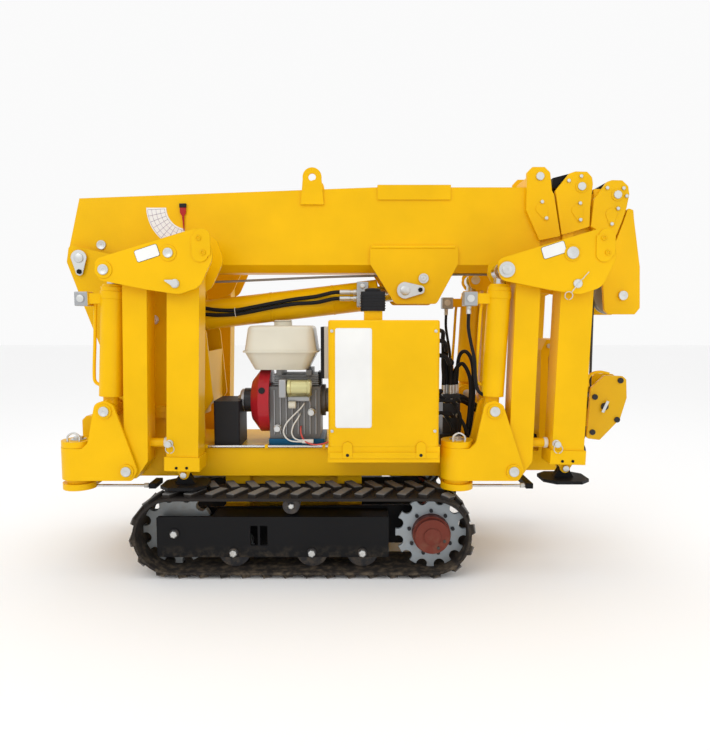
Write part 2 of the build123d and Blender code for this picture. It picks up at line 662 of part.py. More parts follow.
for index, (name, rear_x, ring_x0, ring_x1, ring_low, ring_high, head) in enumerate(SLIDERS, start=1):
    with BuildPart() as slider:
        section_box(index, rear_x, ring_x1, 0)
        section_box(index, rear_x, rear_x + 40, SECTION_GAP - SEAT)
        block(ring_x0, ring_x1, -BOOM_HALF_Y, BOOM_HALF_Y, ring_low, ring_high)
        twin_plates(head, BOOM_HALF_Y, SECTION_HEAD_Y, radius=5)
        if index < SECTIONS:
            section_box(index, rear_x, ring_x0, -SECTION_WALL, mode=Mode.SUBTRACT)
            section_box(index + 1, ring_x0, ring_x1, SEAT, mode=Mode.SUBTRACT)
        else:
            section_box(index, rear_x, ring_x0, -SECTION_WALL, mode=Mode.SUBTRACT)
            cross_bar(HEAD_PIN, HEAD_PIN_R, -SECTION_HEAD_Y, SECTION_HEAD_Y)
            twin_bars(HEAD_PIN, HEAD_PIN_R + 10, SHEAVE_HALF_Y + SEAT, BOOM_HALF_Y)
            twin_bars(HEAD_PIN, HEAD_PIN_R + 2, SECTION_HEAD_Y, SECTION_HEAD_Y + 6)
            block(1020, 1030, -BOOM_HALF_Y, BOOM_HALF_Y, 1096, ring_high - 30)
    save(slider.part, name)

with BuildPart() as sheave:
    rim = SHEAVE_R
    web = SHEAVE_HALF_Y
    with BuildSketch(Plane.XZ) as wheel:
        with Locations(HEAD_PIN):
            Circle(rim)
            Circle(HEAD_PIN_R + RUNNING, mode=Mode.SUBTRACT)
    extrude(wheel.sketch, amount=web, both=True)
    groove_plane = Plane(origin=(HEAD_PIN[0], 0, HEAD_PIN[1]), x_dir=(1, 0, 0), z_dir=(0, 0, 1))
    with BuildSketch(groove_plane) as groove:
        with BuildLine():
            Polyline((rim - GROOVE_DEPTH, 0), (rim + 1, 10), (rim + 1, -10), close=True)
        make_face()
    revolve(groove.sketch, axis=Axis((HEAD_PIN[0], 0, HEAD_PIN[1]), (0, 1, 0)), mode=Mode.SUBTRACT)
save(sheave.part, "head_sheave")

# Hook block: two cheeks round a sheave, the rope that carries it and a forged hook

with BuildPart() as hook_block:
    block_cheek = [
        (966.0, 684.0),
        (1035.0, 681.0),
        (1050.0, 668.0),
        (1054.0, 596.0),
        (1031.0, 513.0),
        (955.0, 431.0),
        (904.0, 437.0),
        (914.0, 635.0),
    ]
    twin_plates(block_cheek, BLOCK_Y - BLOCK_PLATE, BLOCK_Y, radius=9)
    for centre in ((1027.0, 664.0), (1019.0, 511.0), (925.0, 462.0), (930.0, 600.0)):
        cross_bar(centre, 11, -BLOCK_Y - 5, BLOCK_Y + 5)
    cross_bar(BLOCK_PIN, 14, -BLOCK_Y - 8, BLOCK_Y + 8)
    rope_x = HEAD_PIN[0] - SHEAVE_R + GROOVE_DEPTH - ROPE_R / sin(atan2(10, 9)) - SEAT
    cross_bar(BLOCK_PIN, BLOCK_PIN[0] - rope_x + ROPE_R, -SHEAVE_HALF_Y, SHEAVE_HALF_Y)
    twin_bars(BLOCK_PIN, 22, SHEAVE_HALF_Y, BLOCK_Y - BLOCK_PLATE)
    post(rope_x, 0, ROPE_R, BLOCK_PIN[1], HEAD_PIN[1])
    shank = [(925.0, 462.0), (895.0, 470.0), (872.0, 420.0), (902.0, 408.0)]
    plate(shank, -12, 12)
    with BuildSketch(Plane.XZ.offset(-11)) as hook:
        with Locations((872.0, 378.0)):
            Circle(46)
            Circle(26, mode=Mode.SUBTRACT)
        with Locations((827.0, 392.0)):
            Rectangle(44, 42, mode=Mode.SUBTRACT)
    extrude(hook.sketch, amount=22)
save(hook_block.part, "hook_block")

# Luffing ram

luff_line = along(LUFF_FOOT, LUFF_HEAD)
with BuildPart() as luff_barrel:
    round_run(luff_line, LUFF_R, 30, LUFF_BARREL)
    cross_bar(LUFF_FOOT, LUFF_PIN_R + 22, -50, 50)
    round_run(luff_line, LUFF_ROD_R + RUNNING, 70, LUFF_BARREL, mode=Mode.SUBTRACT)
    cross_bar(LUFF_FOOT, LUFF_PIN_R + RUNNING, -LUFF_R, LUFF_R, mode=Mode.SUBTRACT)
save(luff_barrel.part, "luff_barrel")

with BuildPart() as luff_rod:
    round_run(luff_line, LUFF_ROD_R, 75, LUFF_SPAN - 20)
    cross_bar(LUFF_HEAD, LUFF_EYE_R, -32, 32)
    cross_bar(LUFF_HEAD, LUFF_PIN_R, -BOOM_HALF_Y + SEAT, BOOM_HALF_Y - SEAT)
save(luff_rod.part, "luff_rod")

# Outriggers: a swivel bracket, an inner arm with its elbow plates, a ram, a folded outer arm and a
# sliding leg with its foot, four times

# Columns: name, swivel post, side, where the outer arm ends above the ground
OUTRIGGERS = [
    ("rear_near", REAR_POST_X, -1, 372.0),
    ("front_near", FRONT_POST_X, -1, 396.0),
    ("rear_far", REAR_POST_X, 1, 372.0),
    ("front_far", FRONT_POST_X, 1, 396.0),
]

ELBOW_PLATE = [
    (110.0, 1098.0),
    (408.0, 1187.0),
    (478.0, 1208.0),
    (510.0, 1108.0),
    (462.0, 1006.0),
    (391.0, 982.0),
    (284.0, 998.0),
    (124.0, 1030.0),
]
ELBOW_ROUNDS = [26.0, 60.0, 40.0, 60.0, 50.0, 60.0, 30.0, 26.0]
BRACKET_CHEEK = [
    (0.0, BAND_TOP),
    (35.0, BAND_TOP),
    (56.0, 474.0),
    (84.0, 610.0),
    (118.0, 622.0),
    (148.0, 606.0),
    (226.0, 374.0),
    (206.0, BAND_LOW),
    (0.0, BAND_LOW),
]
BRACKET_ROUNDS = [0.0, 10.0, 18.0, 26.0, 24.0, 20.0, 28.0, 14.0, 0.0]


def swivel_bracket():
    with BuildPart() as bracket:
        twin_plates(BRACKET_CHEEK, CHEEK_INNER_Y, BAND_R, radius=BRACKET_ROUNDS)
        post(0, 0, BAND_R, BAND_LOW, BAND_TOP)
        post(0, 0, POST_R + 16, BEAM_LOW + SEAT, BAND_LOW)
        block(0, POST_CAP_R + 8, -CHEEK_INNER_Y, CHEEK_INNER_Y, BAND_LOW, BAND_TOP)
        post(0, 0, POST_R + RUNNING, BEAM_LOW, BAND_TOP, mode=Mode.SUBTRACT)
        cross_bar(FOOT_PIN, PIN_R, -BAND_R, BAND_R)
        twin_bars(FOOT_PIN, WASHER_R, BAND_R, BAND_R + WASHER_THICK)
        cross_bar(RAM_PIN, RAM_PIN_R, -BAND_R, BAND_R)
        twin_bars(RAM_PIN, WASHER_R, BAND_R, BAND_R + WASHER_THICK)
    return bracket.part


def inner_arm():
    left = FOOT_PIN[0] - INNER_TUBE_LEAN
    outer_left = OUTER_TUBE_LEFT - OUTER_TUBE_LEAN * (OUTER_TUBE_TOP - BUMPER_Z) / (OUTER_TUBE_TOP - 384)
    with BuildPart() as arm:
        tube = [
            (left, INNER_TUBE_END),
            (left + INNER_TUBE_LEAN, INNER_TUBE_TOP),
            (left + INNER_TUBE_LEAN + INNER_TUBE_X, INNER_TUBE_TOP),
            (left + INNER_TUBE_X, INNER_TUBE_END + 60),
            (left + INNER_TUBE_X / 2, INNER_TUBE_END),
        ]
        plate(tube, -INNER_TUBE_HALF_Y, INNER_TUBE_HALF_Y)
        twin_bars(FOOT_PIN, WASHER_R, INNER_TUBE_HALF_Y, CHEEK_INNER_Y - SEAT)
        cross_bar(FOOT_PIN, PIN_R + RUNNING, -BAND_R, BAND_R, mode=Mode.SUBTRACT)
        twin_plates(ELBOW_PLATE, ELBOW_INNER_Y, ELBOW_PLATE_Y, radius=ELBOW_ROUNDS)
        crosshead_x = left + INNER_TUBE_LEAN + 8
        block(
            crosshead_x,
            crosshead_x + INNER_TUBE_X - 16,
            -ELBOW_INNER_Y,
            ELBOW_INNER_Y,
            INNER_TUBE_TOP - 62,
            INNER_TUBE_TOP,
        )
        cross_bar(ELBOW_PIN, ELBOW_PIN_R, -ELBOW_PLATE_Y, ELBOW_PLATE_Y)
        twin_bars(ELBOW_PIN, WASHER_R + 2, ELBOW_PLATE_Y, ELBOW_PLATE_Y + 3)
        twin_bars(ROD_PIN, WASHER_R + 4, ELBOW_PLATE_Y, ELBOW_PLATE_Y + 3)
        with BuildSketch(Plane.YZ.offset(left + INNER_TUBE_X)) as stop:
            with Locations((0, BUMPER_Z)):
                Circle(BUMPER_R)
        extrude(stop.sketch, amount=outer_left - SEAT - 0.7 - left - INNER_TUBE_X)
    return arm.part


def ram_barrel():
    line = along(RAM_PIN, ROD_PIN)
    with BuildPart() as barrel:
        round_run(line, RAM_R, RAM_START, RAM_START + RAM_LENGTH)
        round_run(line, RAM_PIN_R + 12, 0, RAM_START)
        cross_bar(RAM_PIN, RAM_PIN_R + 14, -CHEEK_INNER_Y + SEAT, CHEEK_INNER_Y - SEAT)
        round_run(line, ROD_R + RUNNING, ROD_TAIL - PLAY, RAM_START + RAM_LENGTH, mode=Mode.SUBTRACT)
        cross_bar(RAM_PIN, RAM_PIN_R + RUNNING, -BAND_R, BAND_R, mode=Mode.SUBTRACT)
        port_z = RAM_PIN[1] + 387
        block(62, 104, -20, 20, port_z - 18, port_z + 18)
        block(38, 62, -24, 24, port_z - 24, port_z + 22)
    return barrel.part


def ram_rod():
    line = along(RAM_PIN, ROD_PIN)
    with BuildPart() as rod:
        round_run(line, ROD_R, ROD_TAIL, RAM_SPAN - 20)
        cross_bar(ROD_PIN, 28, -26, 26)
        cross_bar(ROD_PIN, RAM_PIN_R, -ELBOW_INNER_Y + SEAT, ELBOW_INNER_Y - SEAT)
    return rod.part


def leg_plane(arm_end):
    """The plane at the mouth of the outer arm, facing up its tube."""
    middle = OUTER_TUBE_LEFT - OUTER_TUBE_LEAN + OUTER_TUBE_X / 2
    return along((middle, arm_end), (middle + OUTER_TUBE_LEAN, OUTER_TUBE_TOP))


def outer_arm(arm_end):
    mouth = leg_plane(arm_end)
    bore_y = 2 * (OUTER_TUBE_HALF_Y - OUTER_TUBE_WALL)
    bore_x = OUTER_TUBE_X - 2 * OUTER_TUBE_WALL
    low_left = OUTER_TUBE_LEFT - OUTER_TUBE_LEAN
    with BuildPart() as arm:
        tube = [
            (low_left, arm_end),
            (OUTER_TUBE_LEFT, OUTER_TUBE_TOP),
            (OUTER_TUBE_LEFT + OUTER_TUBE_X, OUTER_TUBE_TOP),
            (low_left + OUTER_TUBE_X, arm_end),
        ]
        plate(tube, -OUTER_TUBE_HALF_Y, OUTER_TUBE_HALF_Y, radius=[0, 0, 30, 0])
        cross_bar(ELBOW_PIN, ELBOW_PIN_R + 20, -OUTER_TUBE_HALF_Y, OUTER_TUBE_HALF_Y)
        twin_bars(ELBOW_PIN, ELBOW_PIN_R + 14, OUTER_TUBE_HALF_Y, ELBOW_INNER_Y - SEAT)
        cross_bar(ELBOW_PIN, ELBOW_PIN_R + RUNNING, -ELBOW_INNER_Y, ELBOW_INNER_Y, mode=Mode.SUBTRACT)
        box_run(
            mouth,
            2 * (OUTER_TUBE_HALF_Y + COLLAR_STEP),
            OUTER_TUBE_X + 2 * COLLAR_STEP,
            0,
            COLLAR_HEIGHT,
        )
        box_run(mouth, bore_y, bore_x, COLLAR_HEIGHT - 9, LEG_INSIDE + 60, mode=Mode.SUBTRACT)
        box_run(
            mouth,
            bore_y - 2 * PLAY + 2 * SEAT,
            bore_x - 2 * PLAY + 2 * SEAT,
            -PLAY,
            COLLAR_HEIGHT,
            mode=Mode.SUBTRACT,
        )
    return arm.part


def sliding_leg(arm_end):
    mouth = leg_plane(arm_end)
    bore_y = 2 * (OUTER_TUBE_HALF_Y - OUTER_TUBE_WALL)
    bore_x = OUTER_TUBE_X - 2 * OUTER_TUBE_WALL
    with BuildPart() as leg:
        box_run(mouth, bore_y - 2 * PLAY, bore_x - 2 * PLAY, 0, LEG_INSIDE)
        box_run(mouth, bore_y - 2 * SEAT, bore_x - 2 * SEAT, LEG_INSIDE - 30, LEG_INSIDE)
        pin = (mouth.origin.X, arm_end - FOOT_PIN_DROP)
        twin_bars(pin, EAR_R, EAR_INNER_Y, EAR_OUTER_Y)
        ear = [
            (pin[0] - EAR_R, pin[1]),
            (pin[0] + EAR_R, pin[1]),
            (pin[0] + EAR_R + 14, arm_end + PLAY),
            (pin[0] - EAR_R - 14, arm_end + PLAY),
        ]
        twin_plates(ear, EAR_INNER_Y, EAR_OUTER_Y)
        cross_bar(pin, FOOT_PIN_R, -EAR_OUTER_Y - 6, EAR_OUTER_Y + 6)
    return leg.part


def foot(arm_end):
    mouth = leg_plane(arm_end)
    pin = (mouth.origin.X, arm_end - FOOT_PIN_DROP)
    sole = pin[1] - FOOT_DROP
    corner = 36.0
    with BuildPart() as pad:
        with BuildSketch(Plane.XY.offset(sole)) as outline:
            with Locations((pin[0], 0)):
                Rectangle(FOOT_LONG, FOOT_WIDE)
            chamfer(outline.vertices(), length=corner)
        extrude(amount=FOOT_THICK)
        tongue_y = EAR_INNER_Y - SEAT
        tongue = [
            (pin[0] - 38, sole + FOOT_THICK / 2),
            (pin[0] + 38, sole + FOOT_THICK / 2),
            (pin[0] + EAR_R - 3, pin[1]),
            (pin[0] - EAR_R + 3, pin[1]),
        ]
        plate(tongue, -tongue_y, tongue_y)
        cross_bar(pin, EAR_R - 3, -tongue_y, tongue_y)
        cross_bar(pin, FOOT_PIN_R + RUNNING, -EAR_OUTER_Y, EAR_OUTER_Y, mode=Mode.SUBTRACT)
    return pad.part


bracket_part = swivel_bracket()
inner_part = inner_arm()
barrel_part = ram_barrel()
rod_part = ram_rod()
for name, post_x, side, arm_end in OUTRIGGERS:
    place = Location((post_x, side * POST_Y, 0))
    pieces = [
        ("bracket", bracket_part),
        ("inner_arm", inner_part),
        ("ram_barrel", barrel_part),
        ("ram_rod", rod_part),
        ("outer_arm", outer_arm(arm_end)),
        ("leg", sliding_leg(arm_end)),
        ("foot", foot(arm_end)),
    ]
    for piece_name, piece in pieces:
        save(piece.moved(place), f"{piece_name}_{name}")

# Engine with its fan cover and fuel tank

fuel_x0, fuel_x1, fuel_y0, fuel_y1, fuel_z0, fuel_z1 = FUEL_TANK
with BuildPart() as engine:
    block(-318, -112, ENGINE_Y - 105, ENGINE_Y + 95, DECK_TOP, DECK_TOP + 30)
    block(-316, -128, ENGINE_Y - 90, ENGINE_Y + 85, DECK_TOP + 30, CRANK_Z + 60)
    block(-300, -140, ENGINE_Y - 60, ENGINE_Y + 80, CRANK_Z + 60, fuel_z0 - 20)
    block(-290, -270, ENGINE_Y - 90, ENGINE_Y + 90, fuel_z0 - 20, fuel_z0)
    block(-180, -160, ENGINE_Y - 90, ENGINE_Y + 90, fuel_z0 - 20, fuel_z0)
    with BuildSketch(Plane.YZ.offset(-112)) as shaft:
        with Locations((ENGINE_Y, CRANK_Z)):
            Circle(60)
    extrude(shaft.sketch, amount=-20)
    with BuildSketch(Plane.YZ.offset(-112)) as pump:
        with Locations((ENGINE_Y, CRANK_Z)):
            Circle(46)
    extrude(pump.sketch, amount=150)
    with BuildSketch(Plane.XZ.offset(-ENGINE_Y + 128)) as starter:
        with Locations((-225, CRANK_Z + 62)):
            Rectangle(90, 46)
    extrude(starter.sketch, amount=-60)
save(engine.part, "engine_block")

with BuildPart() as fan_cover:
    crank_plane = Plane(origin=(-316 - SEAT, ENGINE_Y, CRANK_Z), x_dir=(0, 1, 0), z_dir=(-1, 0, 0))
    with BuildSketch(crank_plane):
        Circle(FAN_R)
    extrude(amount=40)
    with BuildSketch(crank_plane.offset(40)):
        Circle(FAN_R)
    with BuildSketch(crank_plane.offset(72)):
        Circle(FAN_R - 42)
    loft()
    with BuildSketch(crank_plane.offset(72)):
        Circle(46)
    extrude(amount=32)
save(fan_cover.part, "fan_cover")

with BuildPart() as fuel_tank:
    rim_z = 782.0
    middle = ((fuel_x0 + fuel_x1) / 2, (fuel_y0 + fuel_y1) / 2)
    wide, deep = fuel_x1 - fuel_x0, fuel_y1 - fuel_y0
    for z_start, z_end, end_draft in ((rim_z, fuel_z1, 14.0), (rim_z, fuel_z0, 34.0)):
        with BuildSketch(Plane.XY.offset(z_start)):
            with Locations(middle):
                RectangleRounded(wide - 12, deep - 12, 40)
        with BuildSketch(Plane.XY.offset(z_end)):
            with Locations(middle):
                RectangleRounded(wide - 12 - 2 * end_draft, deep - 12 - 2 * end_draft, 30)
        loft()
    with BuildSketch(Plane.XY.offset(rim_z - 3)):
        with Locations(middle):
            RectangleRounded(wide, deep, 44)
    extrude(amount=6)
    fillet(fuel_tank.faces().sort_by(Axis.Z)[-1].edges(), radius=16)
    with BuildSketch(Plane.XY.offset(fuel_z1)):
        with Locations(middle):
            Circle(34)
    extrude(amount=14)
save(fuel_tank.part, "fuel_tank")

with BuildPart() as air_filter:
    block(-126, -98, ENGINE_Y - 90, ENGINE_Y + 60, CRANK_Z + 90, 872)
    block(-140 + SEAT, -126, ENGINE_Y - 40, ENGINE_Y + 40, CRANK_Z + 65, CRANK_Z + 110)
save(air_filter.part, "air_filter")

# Oil tank with its filler, valve bank and battery

with BuildPart() as oil_tank:
    block(tank_x0, tank_x1, tank_y0, tank_y1, tank_z0, tank_z1)
    fillet(oil_tank.edges().filter_by(Axis.Z), radius=16)
    fillet(oil_tank.faces().sort_by(Axis.Z)[-1].edges(), radius=8)
    block(31, 94, (tank_y0 + tank_y1) / 2 - 32, (tank_y0 + tank_y1) / 2 + 32, tank_z1, tank_z1 + 31)
save(oil_tank.part, "oil_tank")

with BuildPart() as filler:
    block(20, 103, (tank_y0 + tank_y1) / 2 - 40, (tank_y0 + tank_y1) / 2 + 40, tank_z1 + 31, tank_z1 + 97)
    fillet(filler.edges().filter_by(Axis.Z), radius=12)
save(filler.part, "filler_filter")

with BuildPart() as valves:
    block(318, 405, -140, 60, DECK_TOP, DECK_TOP + 40)
    block(330, 395, -130, 50, DECK_TOP + 40, 620)
    for y in (-110, -80, -50, -20, 10):
        post(362, y, 7, 620, 700)
        block(355, 369, y - 7, y + 7, 700, 726)
save(valves.part, "valve_bank")

with BuildPart() as battery:
    block(-520, -425, -185, -20, DECK_TOP, 600)
    fillet(battery.edges().filter_by(Axis.Z), radius=8)
save(battery.part, "battery_box")
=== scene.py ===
import math

import bpy
import numpy as np
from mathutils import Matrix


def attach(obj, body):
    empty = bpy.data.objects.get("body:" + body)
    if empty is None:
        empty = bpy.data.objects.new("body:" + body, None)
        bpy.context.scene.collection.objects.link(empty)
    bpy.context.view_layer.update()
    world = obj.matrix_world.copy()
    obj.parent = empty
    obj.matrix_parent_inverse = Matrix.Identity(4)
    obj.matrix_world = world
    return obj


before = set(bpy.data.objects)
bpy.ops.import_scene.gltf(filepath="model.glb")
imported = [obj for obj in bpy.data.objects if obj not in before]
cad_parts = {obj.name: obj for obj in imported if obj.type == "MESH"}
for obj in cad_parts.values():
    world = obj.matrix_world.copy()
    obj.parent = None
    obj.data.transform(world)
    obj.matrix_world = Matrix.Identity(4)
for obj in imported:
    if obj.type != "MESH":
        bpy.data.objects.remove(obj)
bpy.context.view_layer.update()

# Tracks. Moulded rubber belts with chevron lugs run round a toothed steel idler and sprocket on a
# welded black frame. The travel motor is bolted inside the sprocket, and nuts hold the axles.
DUST = (0.30, 0.23, 0.15, 1)


def shader(tree, kind, values=(), **settings):
    """Adds a node to the tree with these settings and input values."""
    made = tree.nodes.new("ShaderNode" + kind)
    for key, value in settings.items():
        setattr(made, key, value)
    for key, value in dict(values).items():
        made.inputs[key].default_value = value
    return made


def weathering():
    """Group outputs: Shade is 0.82 + 0.3 noise, Dust is (1 - z / reach) times a blotchy noise, and
    Normal is a bump of fine noise on rounded edges."""
    tree = bpy.data.node_groups.new("weathering", "ShaderNodeTree")
    for label, usual in (("Grain", 300.0), ("Reach", 0.5), ("Bump", 0.1)):
        socket = tree.interface.new_socket(label, in_out="INPUT", socket_type="NodeSocketFloat")
        socket.default_value = usual
    tree.interface.new_socket("Shade", in_out="OUTPUT", socket_type="NodeSocketFloat")
    tree.interface.new_socket("Dust", in_out="OUTPUT", socket_type="NodeSocketFloat")
    tree.interface.new_socket("Normal", in_out="OUTPUT", socket_type="NodeSocketVector")
    given = tree.nodes.new("NodeGroupInput")
    out = tree.nodes.new("NodeGroupOutput")
    place = shader(tree, "TexCoord")
    slow = shader(tree, "TexNoise", {"Scale": 5.0, "Detail": 3.0})
    blotch = shader(tree, "TexNoise", {"Scale": 38.0, "Detail": 6.0, "Roughness": 0.65})
    fine = shader(tree, "TexNoise", {"Detail": 2.0})
    split = shader(tree, "SeparateXYZ")
    level = shader(tree, "MapRange", {"From Min": 0.0, "To Min": 1.0, "To Max": 0.0})
    patch = shader(tree, "MapRange", {"From Min": 0.45, "From Max": 0.85, "To Max": 0.7})
    dust = shader(tree, "Math", operation="MULTIPLY")
    shade = shader(tree, "MapRange", {"To Min": 0.82, "To Max": 1.12})
    edges = shader(tree, "Bevel", {"Radius": 0.0022})
    bump = shader(tree, "Bump", {"Distance": 0.0006})
    join = tree.links.new
    for texture in (slow, blotch, fine):
        join(place.outputs["Object"], texture.inputs["Vector"])
    join(given.outputs["Grain"], fine.inputs["Scale"])
    join(place.outputs["Object"], split.inputs[0])
    join(split.outputs["Z"], level.inputs["Value"])
    join(given.outputs["Reach"], level.inputs["From Max"])
    join(blotch.outputs["Fac"], patch.inputs["Value"])
    join(level.outputs[0], dust.inputs[0])
    join(patch.outputs[0], dust.inputs[1])
    join(slow.outputs["Fac"], shade.inputs["Value"])
    join(fine.outputs["Fac"], bump.inputs["Height"])
    join(edges.outputs[0], bump.inputs["Normal"])
    join(given.outputs["Bump"], bump.inputs["Strength"])
    join(shade.outputs[0], out.inputs["Shade"])
    join(dust.outputs[0], out.inputs["Dust"])
    join(bump.outputs[0], out.inputs["Normal"])
    return tree


WEATHERING = weathering()


def surface(name, colour, rough, metal=0.0, reach=0.5, bump=0.1, grain=300.0, coat=0.0, regions=()):
    """A weathered material. regions are (mask, colour) pairs: a mask is a function of the tree that
    returns a 0 to 1 output made from Object coordinates, and its colour covers what lies below."""
    material = bpy.data.materials.new(name)
    material.use_nodes = True
    tree = material.node_tree
    join = tree.links.new
    plain = tree.nodes["Principled BSDF"]
    for key, value in (
        ("Metallic", metal), ("Coat Weight", coat), ("Coat Roughness", 0.12), ("Specular IOR Level", 0.12),
    ):
        plain.inputs[key].default_value = value
    wear = shader(tree, "Group", {"Grain": grain, "Reach": reach, "Bump": bump}, node_tree=WEATHERING)
    tint = shader(tree, "Mix", {"Factor": 1.0, 6: (*colour, 1)}, data_type="RGBA", blend_type="MULTIPLY")
    last = None
    for mask, region_colour in regions:
        layer = shader(tree, "Mix", {6: (*colour, 1), 7: (*region_colour, 1)}, data_type="RGBA")
        join(mask(tree), layer.inputs["Factor"])
        if last:
            join(last, layer.inputs[6])
        last = layer.outputs[2]
    if last:
        join(last, tint.inputs[6])
    join(wear.outputs["Shade"], tint.inputs[7])
    dusty = shader(tree, "Mix", {7: DUST}, data_type="RGBA")
    join(tint.outputs[2], dusty.inputs[6])
    join(wear.outputs["Dust"], dusty.inputs["Factor"])
    join(dusty.outputs[2], plain.inputs["Base Color"])
    dulled = shader(tree, "MapRange", {"To Min": rough, "To Max": min(1.0, rough + 0.4)})
    join(wear.outputs["Dust"], dulled.inputs["Value"])
    join(dulled.outputs[0], plain.inputs["Roughness"])
    join(wear.outputs["Normal"], plain.inputs["Normal"])
    return material


def band(tree, source, low, high, soft=0.0006):
    """1 where the source value lies between low and high, with soft edges."""
    rise = shader(tree, "MapRange", {"From Min": low - soft, "From Max": low + soft})
    fall = shader(
        tree, "MapRange", {"From Min": high - soft, "From Max": high + soft, "To Min": 1.0, "To Max": 0.0},
    )
    both = shader(tree, "Math", operation="MULTIPLY")
    for ramp in (rise, fall):
        tree.links.new(source, ramp.inputs["Value"])
    tree.links.new(rise.outputs[0], both.inputs[0])
    tree.links.new(fall.outputs[0], both.inputs[1])
    return both.outputs[0]


def along(tree, axis):
    """The Object coordinate on the axis, and for Y the distance |y| from the middle plane."""
    place = shader(tree, "TexCoord")
    split = shader(tree, "SeparateXYZ")
    tree.links.new(place.outputs["Object"], split.inputs[0])
    if axis != "Y":
        return split.outputs[axis]
    size = shader(tree, "Math", operation="ABSOLUTE")
    tree.links.new(split.outputs["Y"], size.inputs[0])
    return size.outputs[0]


def around(tree, x, z, x_far=None):
    """The distance in the XZ plane from a point, or from the line between two at that height."""
    place = shader(tree, "TexCoord")
    split = shader(tree, "SeparateXYZ")
    nearest = shader(tree, "Clamp", {"Min": x, "Max": x if x_far is None else x_far})
    point = shader(tree, "CombineXYZ", {"Z": z})
    flat = shader(tree, "CombineXYZ")
    gap = shader(tree, "VectorMath", operation="DISTANCE")
    join = tree.links.new
    join(place.outputs["Object"], split.inputs[0])
    join(split.outputs["X"], nearest.inputs["Value"])
    join(nearest.outputs[0], point.inputs["X"])
    join(split.outputs["X"], flat.inputs["X"])
    join(split.outputs["Z"], flat.inputs["Z"])
    join(point.outputs[0], gap.inputs[0])
    join(flat.outputs[0], gap.inputs[1])
    return gap.outputs["Value"]


def dress(material, *names):
    """Gives these CAD nodes the material."""
    for name in names:
        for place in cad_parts[name].material_slots:
            place.material = material


def lofts(name, shapes, material, body, smooth=False):
    """One object at the origin that rides on the body and holds the material in its one slot. Each shape is
    a
    grid of points: row i is a closed ring, quads join ring i to ring i + 1, and both ends are capped."""
    points, faces, start = [], [], 0
    for grid in shapes:
        ring = start + np.arange(grid.shape[0] * grid.shape[1]).reshape(grid.shape[:2])
        after = np.roll(ring, -1, axis=1)
        quads = np.stack([ring[:-1], after[:-1], after[1:], ring[1:]], axis=-1)
        faces += quads.reshape(-1, 4).tolist() + [ring[0, ::-1].tolist(), ring[-1].tolist()]
        points.append(grid.reshape(-1, 3))
        start += ring.size
    mesh = bpy.data.meshes.new(name)
    mesh.from_pydata(np.concatenate(points).tolist(), [], faces)
    mesh.materials.append(material)
    made = bpy.data.objects.new(name, mesh)
    bpy.context.scene.collection.objects.link(made)
    if smooth:
        mesh.shade_smooth()
        mesh.set_sharp_from_angle(angle=math.radians(38))
    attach(made, body)
    return made


def turned(name, spots, profile, material, body, sides=28):
    """Turned pieces in one mesh: point = spot + h a + r (u cos t + v sin t) for each (r, h) of the
    profile, where a is the spot's axis and u, v are square to it."""
    turn = np.linspace(0, 2 * math.pi, sides, endpoint=False)[:, None]
    r, h = np.array(profile, float).T[:, :, None, None]
    shapes = []
    for origin, axis in spots:
        a = np.array(axis, float)
        a /= np.linalg.norm(a)
        u = np.cross(a, (0.3, 0.1, 1.0) if abs(a[2]) < 0.9 else (1.0, 0, 0))
        u /= np.linalg.norm(u)
        shapes.append(np.array(origin) + h * a + r * (np.cos(turn) * u + np.sin(turn) * np.cross(a, u)))
    return lofts(name, shapes, material, body, smooth=sides > 8)


black_paint = surface("black_paint", (0.009, 0.009, 0.010), 0.48, reach=0.11, bump=0.08)
dark_steel = surface("dark_steel", (0.045, 0.045, 0.05), 0.45, metal=0.6, reach=0.5, bump=0.2)
zinc = surface("zinc_plate", (0.66, 0.67, 0.66), 0.46, metal=1.0, reach=0.4, bump=0.05)


def zinced(name, spots, profile, body="root", sides=28):
    """Turned pieces with zinc plate, such as pin heads, bolts and fittings."""
    return turned(name, spots, profile, zinc, body, sides)


def outward(side, face, *points):
    """Spots at the (x, z) points on that side's face, face metres from the middle, looking out."""
    return [((x, side * face, z), (0, side, 0)) for x, z in points]


def both(face, *points):
    """The spots of both sides, the near side first."""
    return outward(-1, face, *points) + outward(1, face, *points)


SIDES = (("near", -1), ("far", 1))
IDLER_X, SPROCKET_X, WHEEL_Z = -0.634, 0.268, 0.150
FRAME_FACE, TOP_FACE, MOTOR_FACE, SCREW_CIRCLE = 0.3282, 0.3082, 0.3582, 0.044
BELT_FACE, MOTOR_RADIUS = 0.1475, 0.0675
ROLLER_SPOTS = ((-0.427, 0.0813), (-0.152, 0.0813), (0.026, 0.0813), (IDLER_X, WHEEL_Z))
belt_rubber = surface(
    "track_rubber", (0.026, 0.022, 0.020), 0.62, reach=0.24, bump=0.5, grain=260.0,
    regions=[
        (
            lambda tree: band(tree, around(tree, IDLER_X, WHEEL_Z, SPROCKET_X), BELT_FACE, 0.3, 0.002),
            (0.17, 0.165, 0.16),
        ),
    ],
)
sprocket_metal = surface(
    "sprocket_metal", (0.36, 0.40, 0.43), 0.42, metal=0.4, reach=0.2, bump=0.2,
    regions=[
        (
            lambda tree: band(tree, around(tree, SPROCKET_X, WHEEL_Z), -1.0, MOTOR_RADIUS),
            (0.17, 0.042, 0.030),
        ),
        (lambda tree: band(tree, along(tree, "Y"), 0.3065, 0.316), (0.03, 0.03, 0.035)),
        (lambda tree: band(tree, along(tree, "Y"), 0.317, 0.5), (0.17, 0.042, 0.030)),
    ],
)
wheel_metal = surface(
    "wheel_metal", (0.30, 0.32, 0.33), 0.45, metal=0.5, reach=0.5, bump=0.25,
    regions=[(lambda tree: band(tree, along(tree, "Y"), 0.30, 0.5), (0.05, 0.05, 0.055))],
)
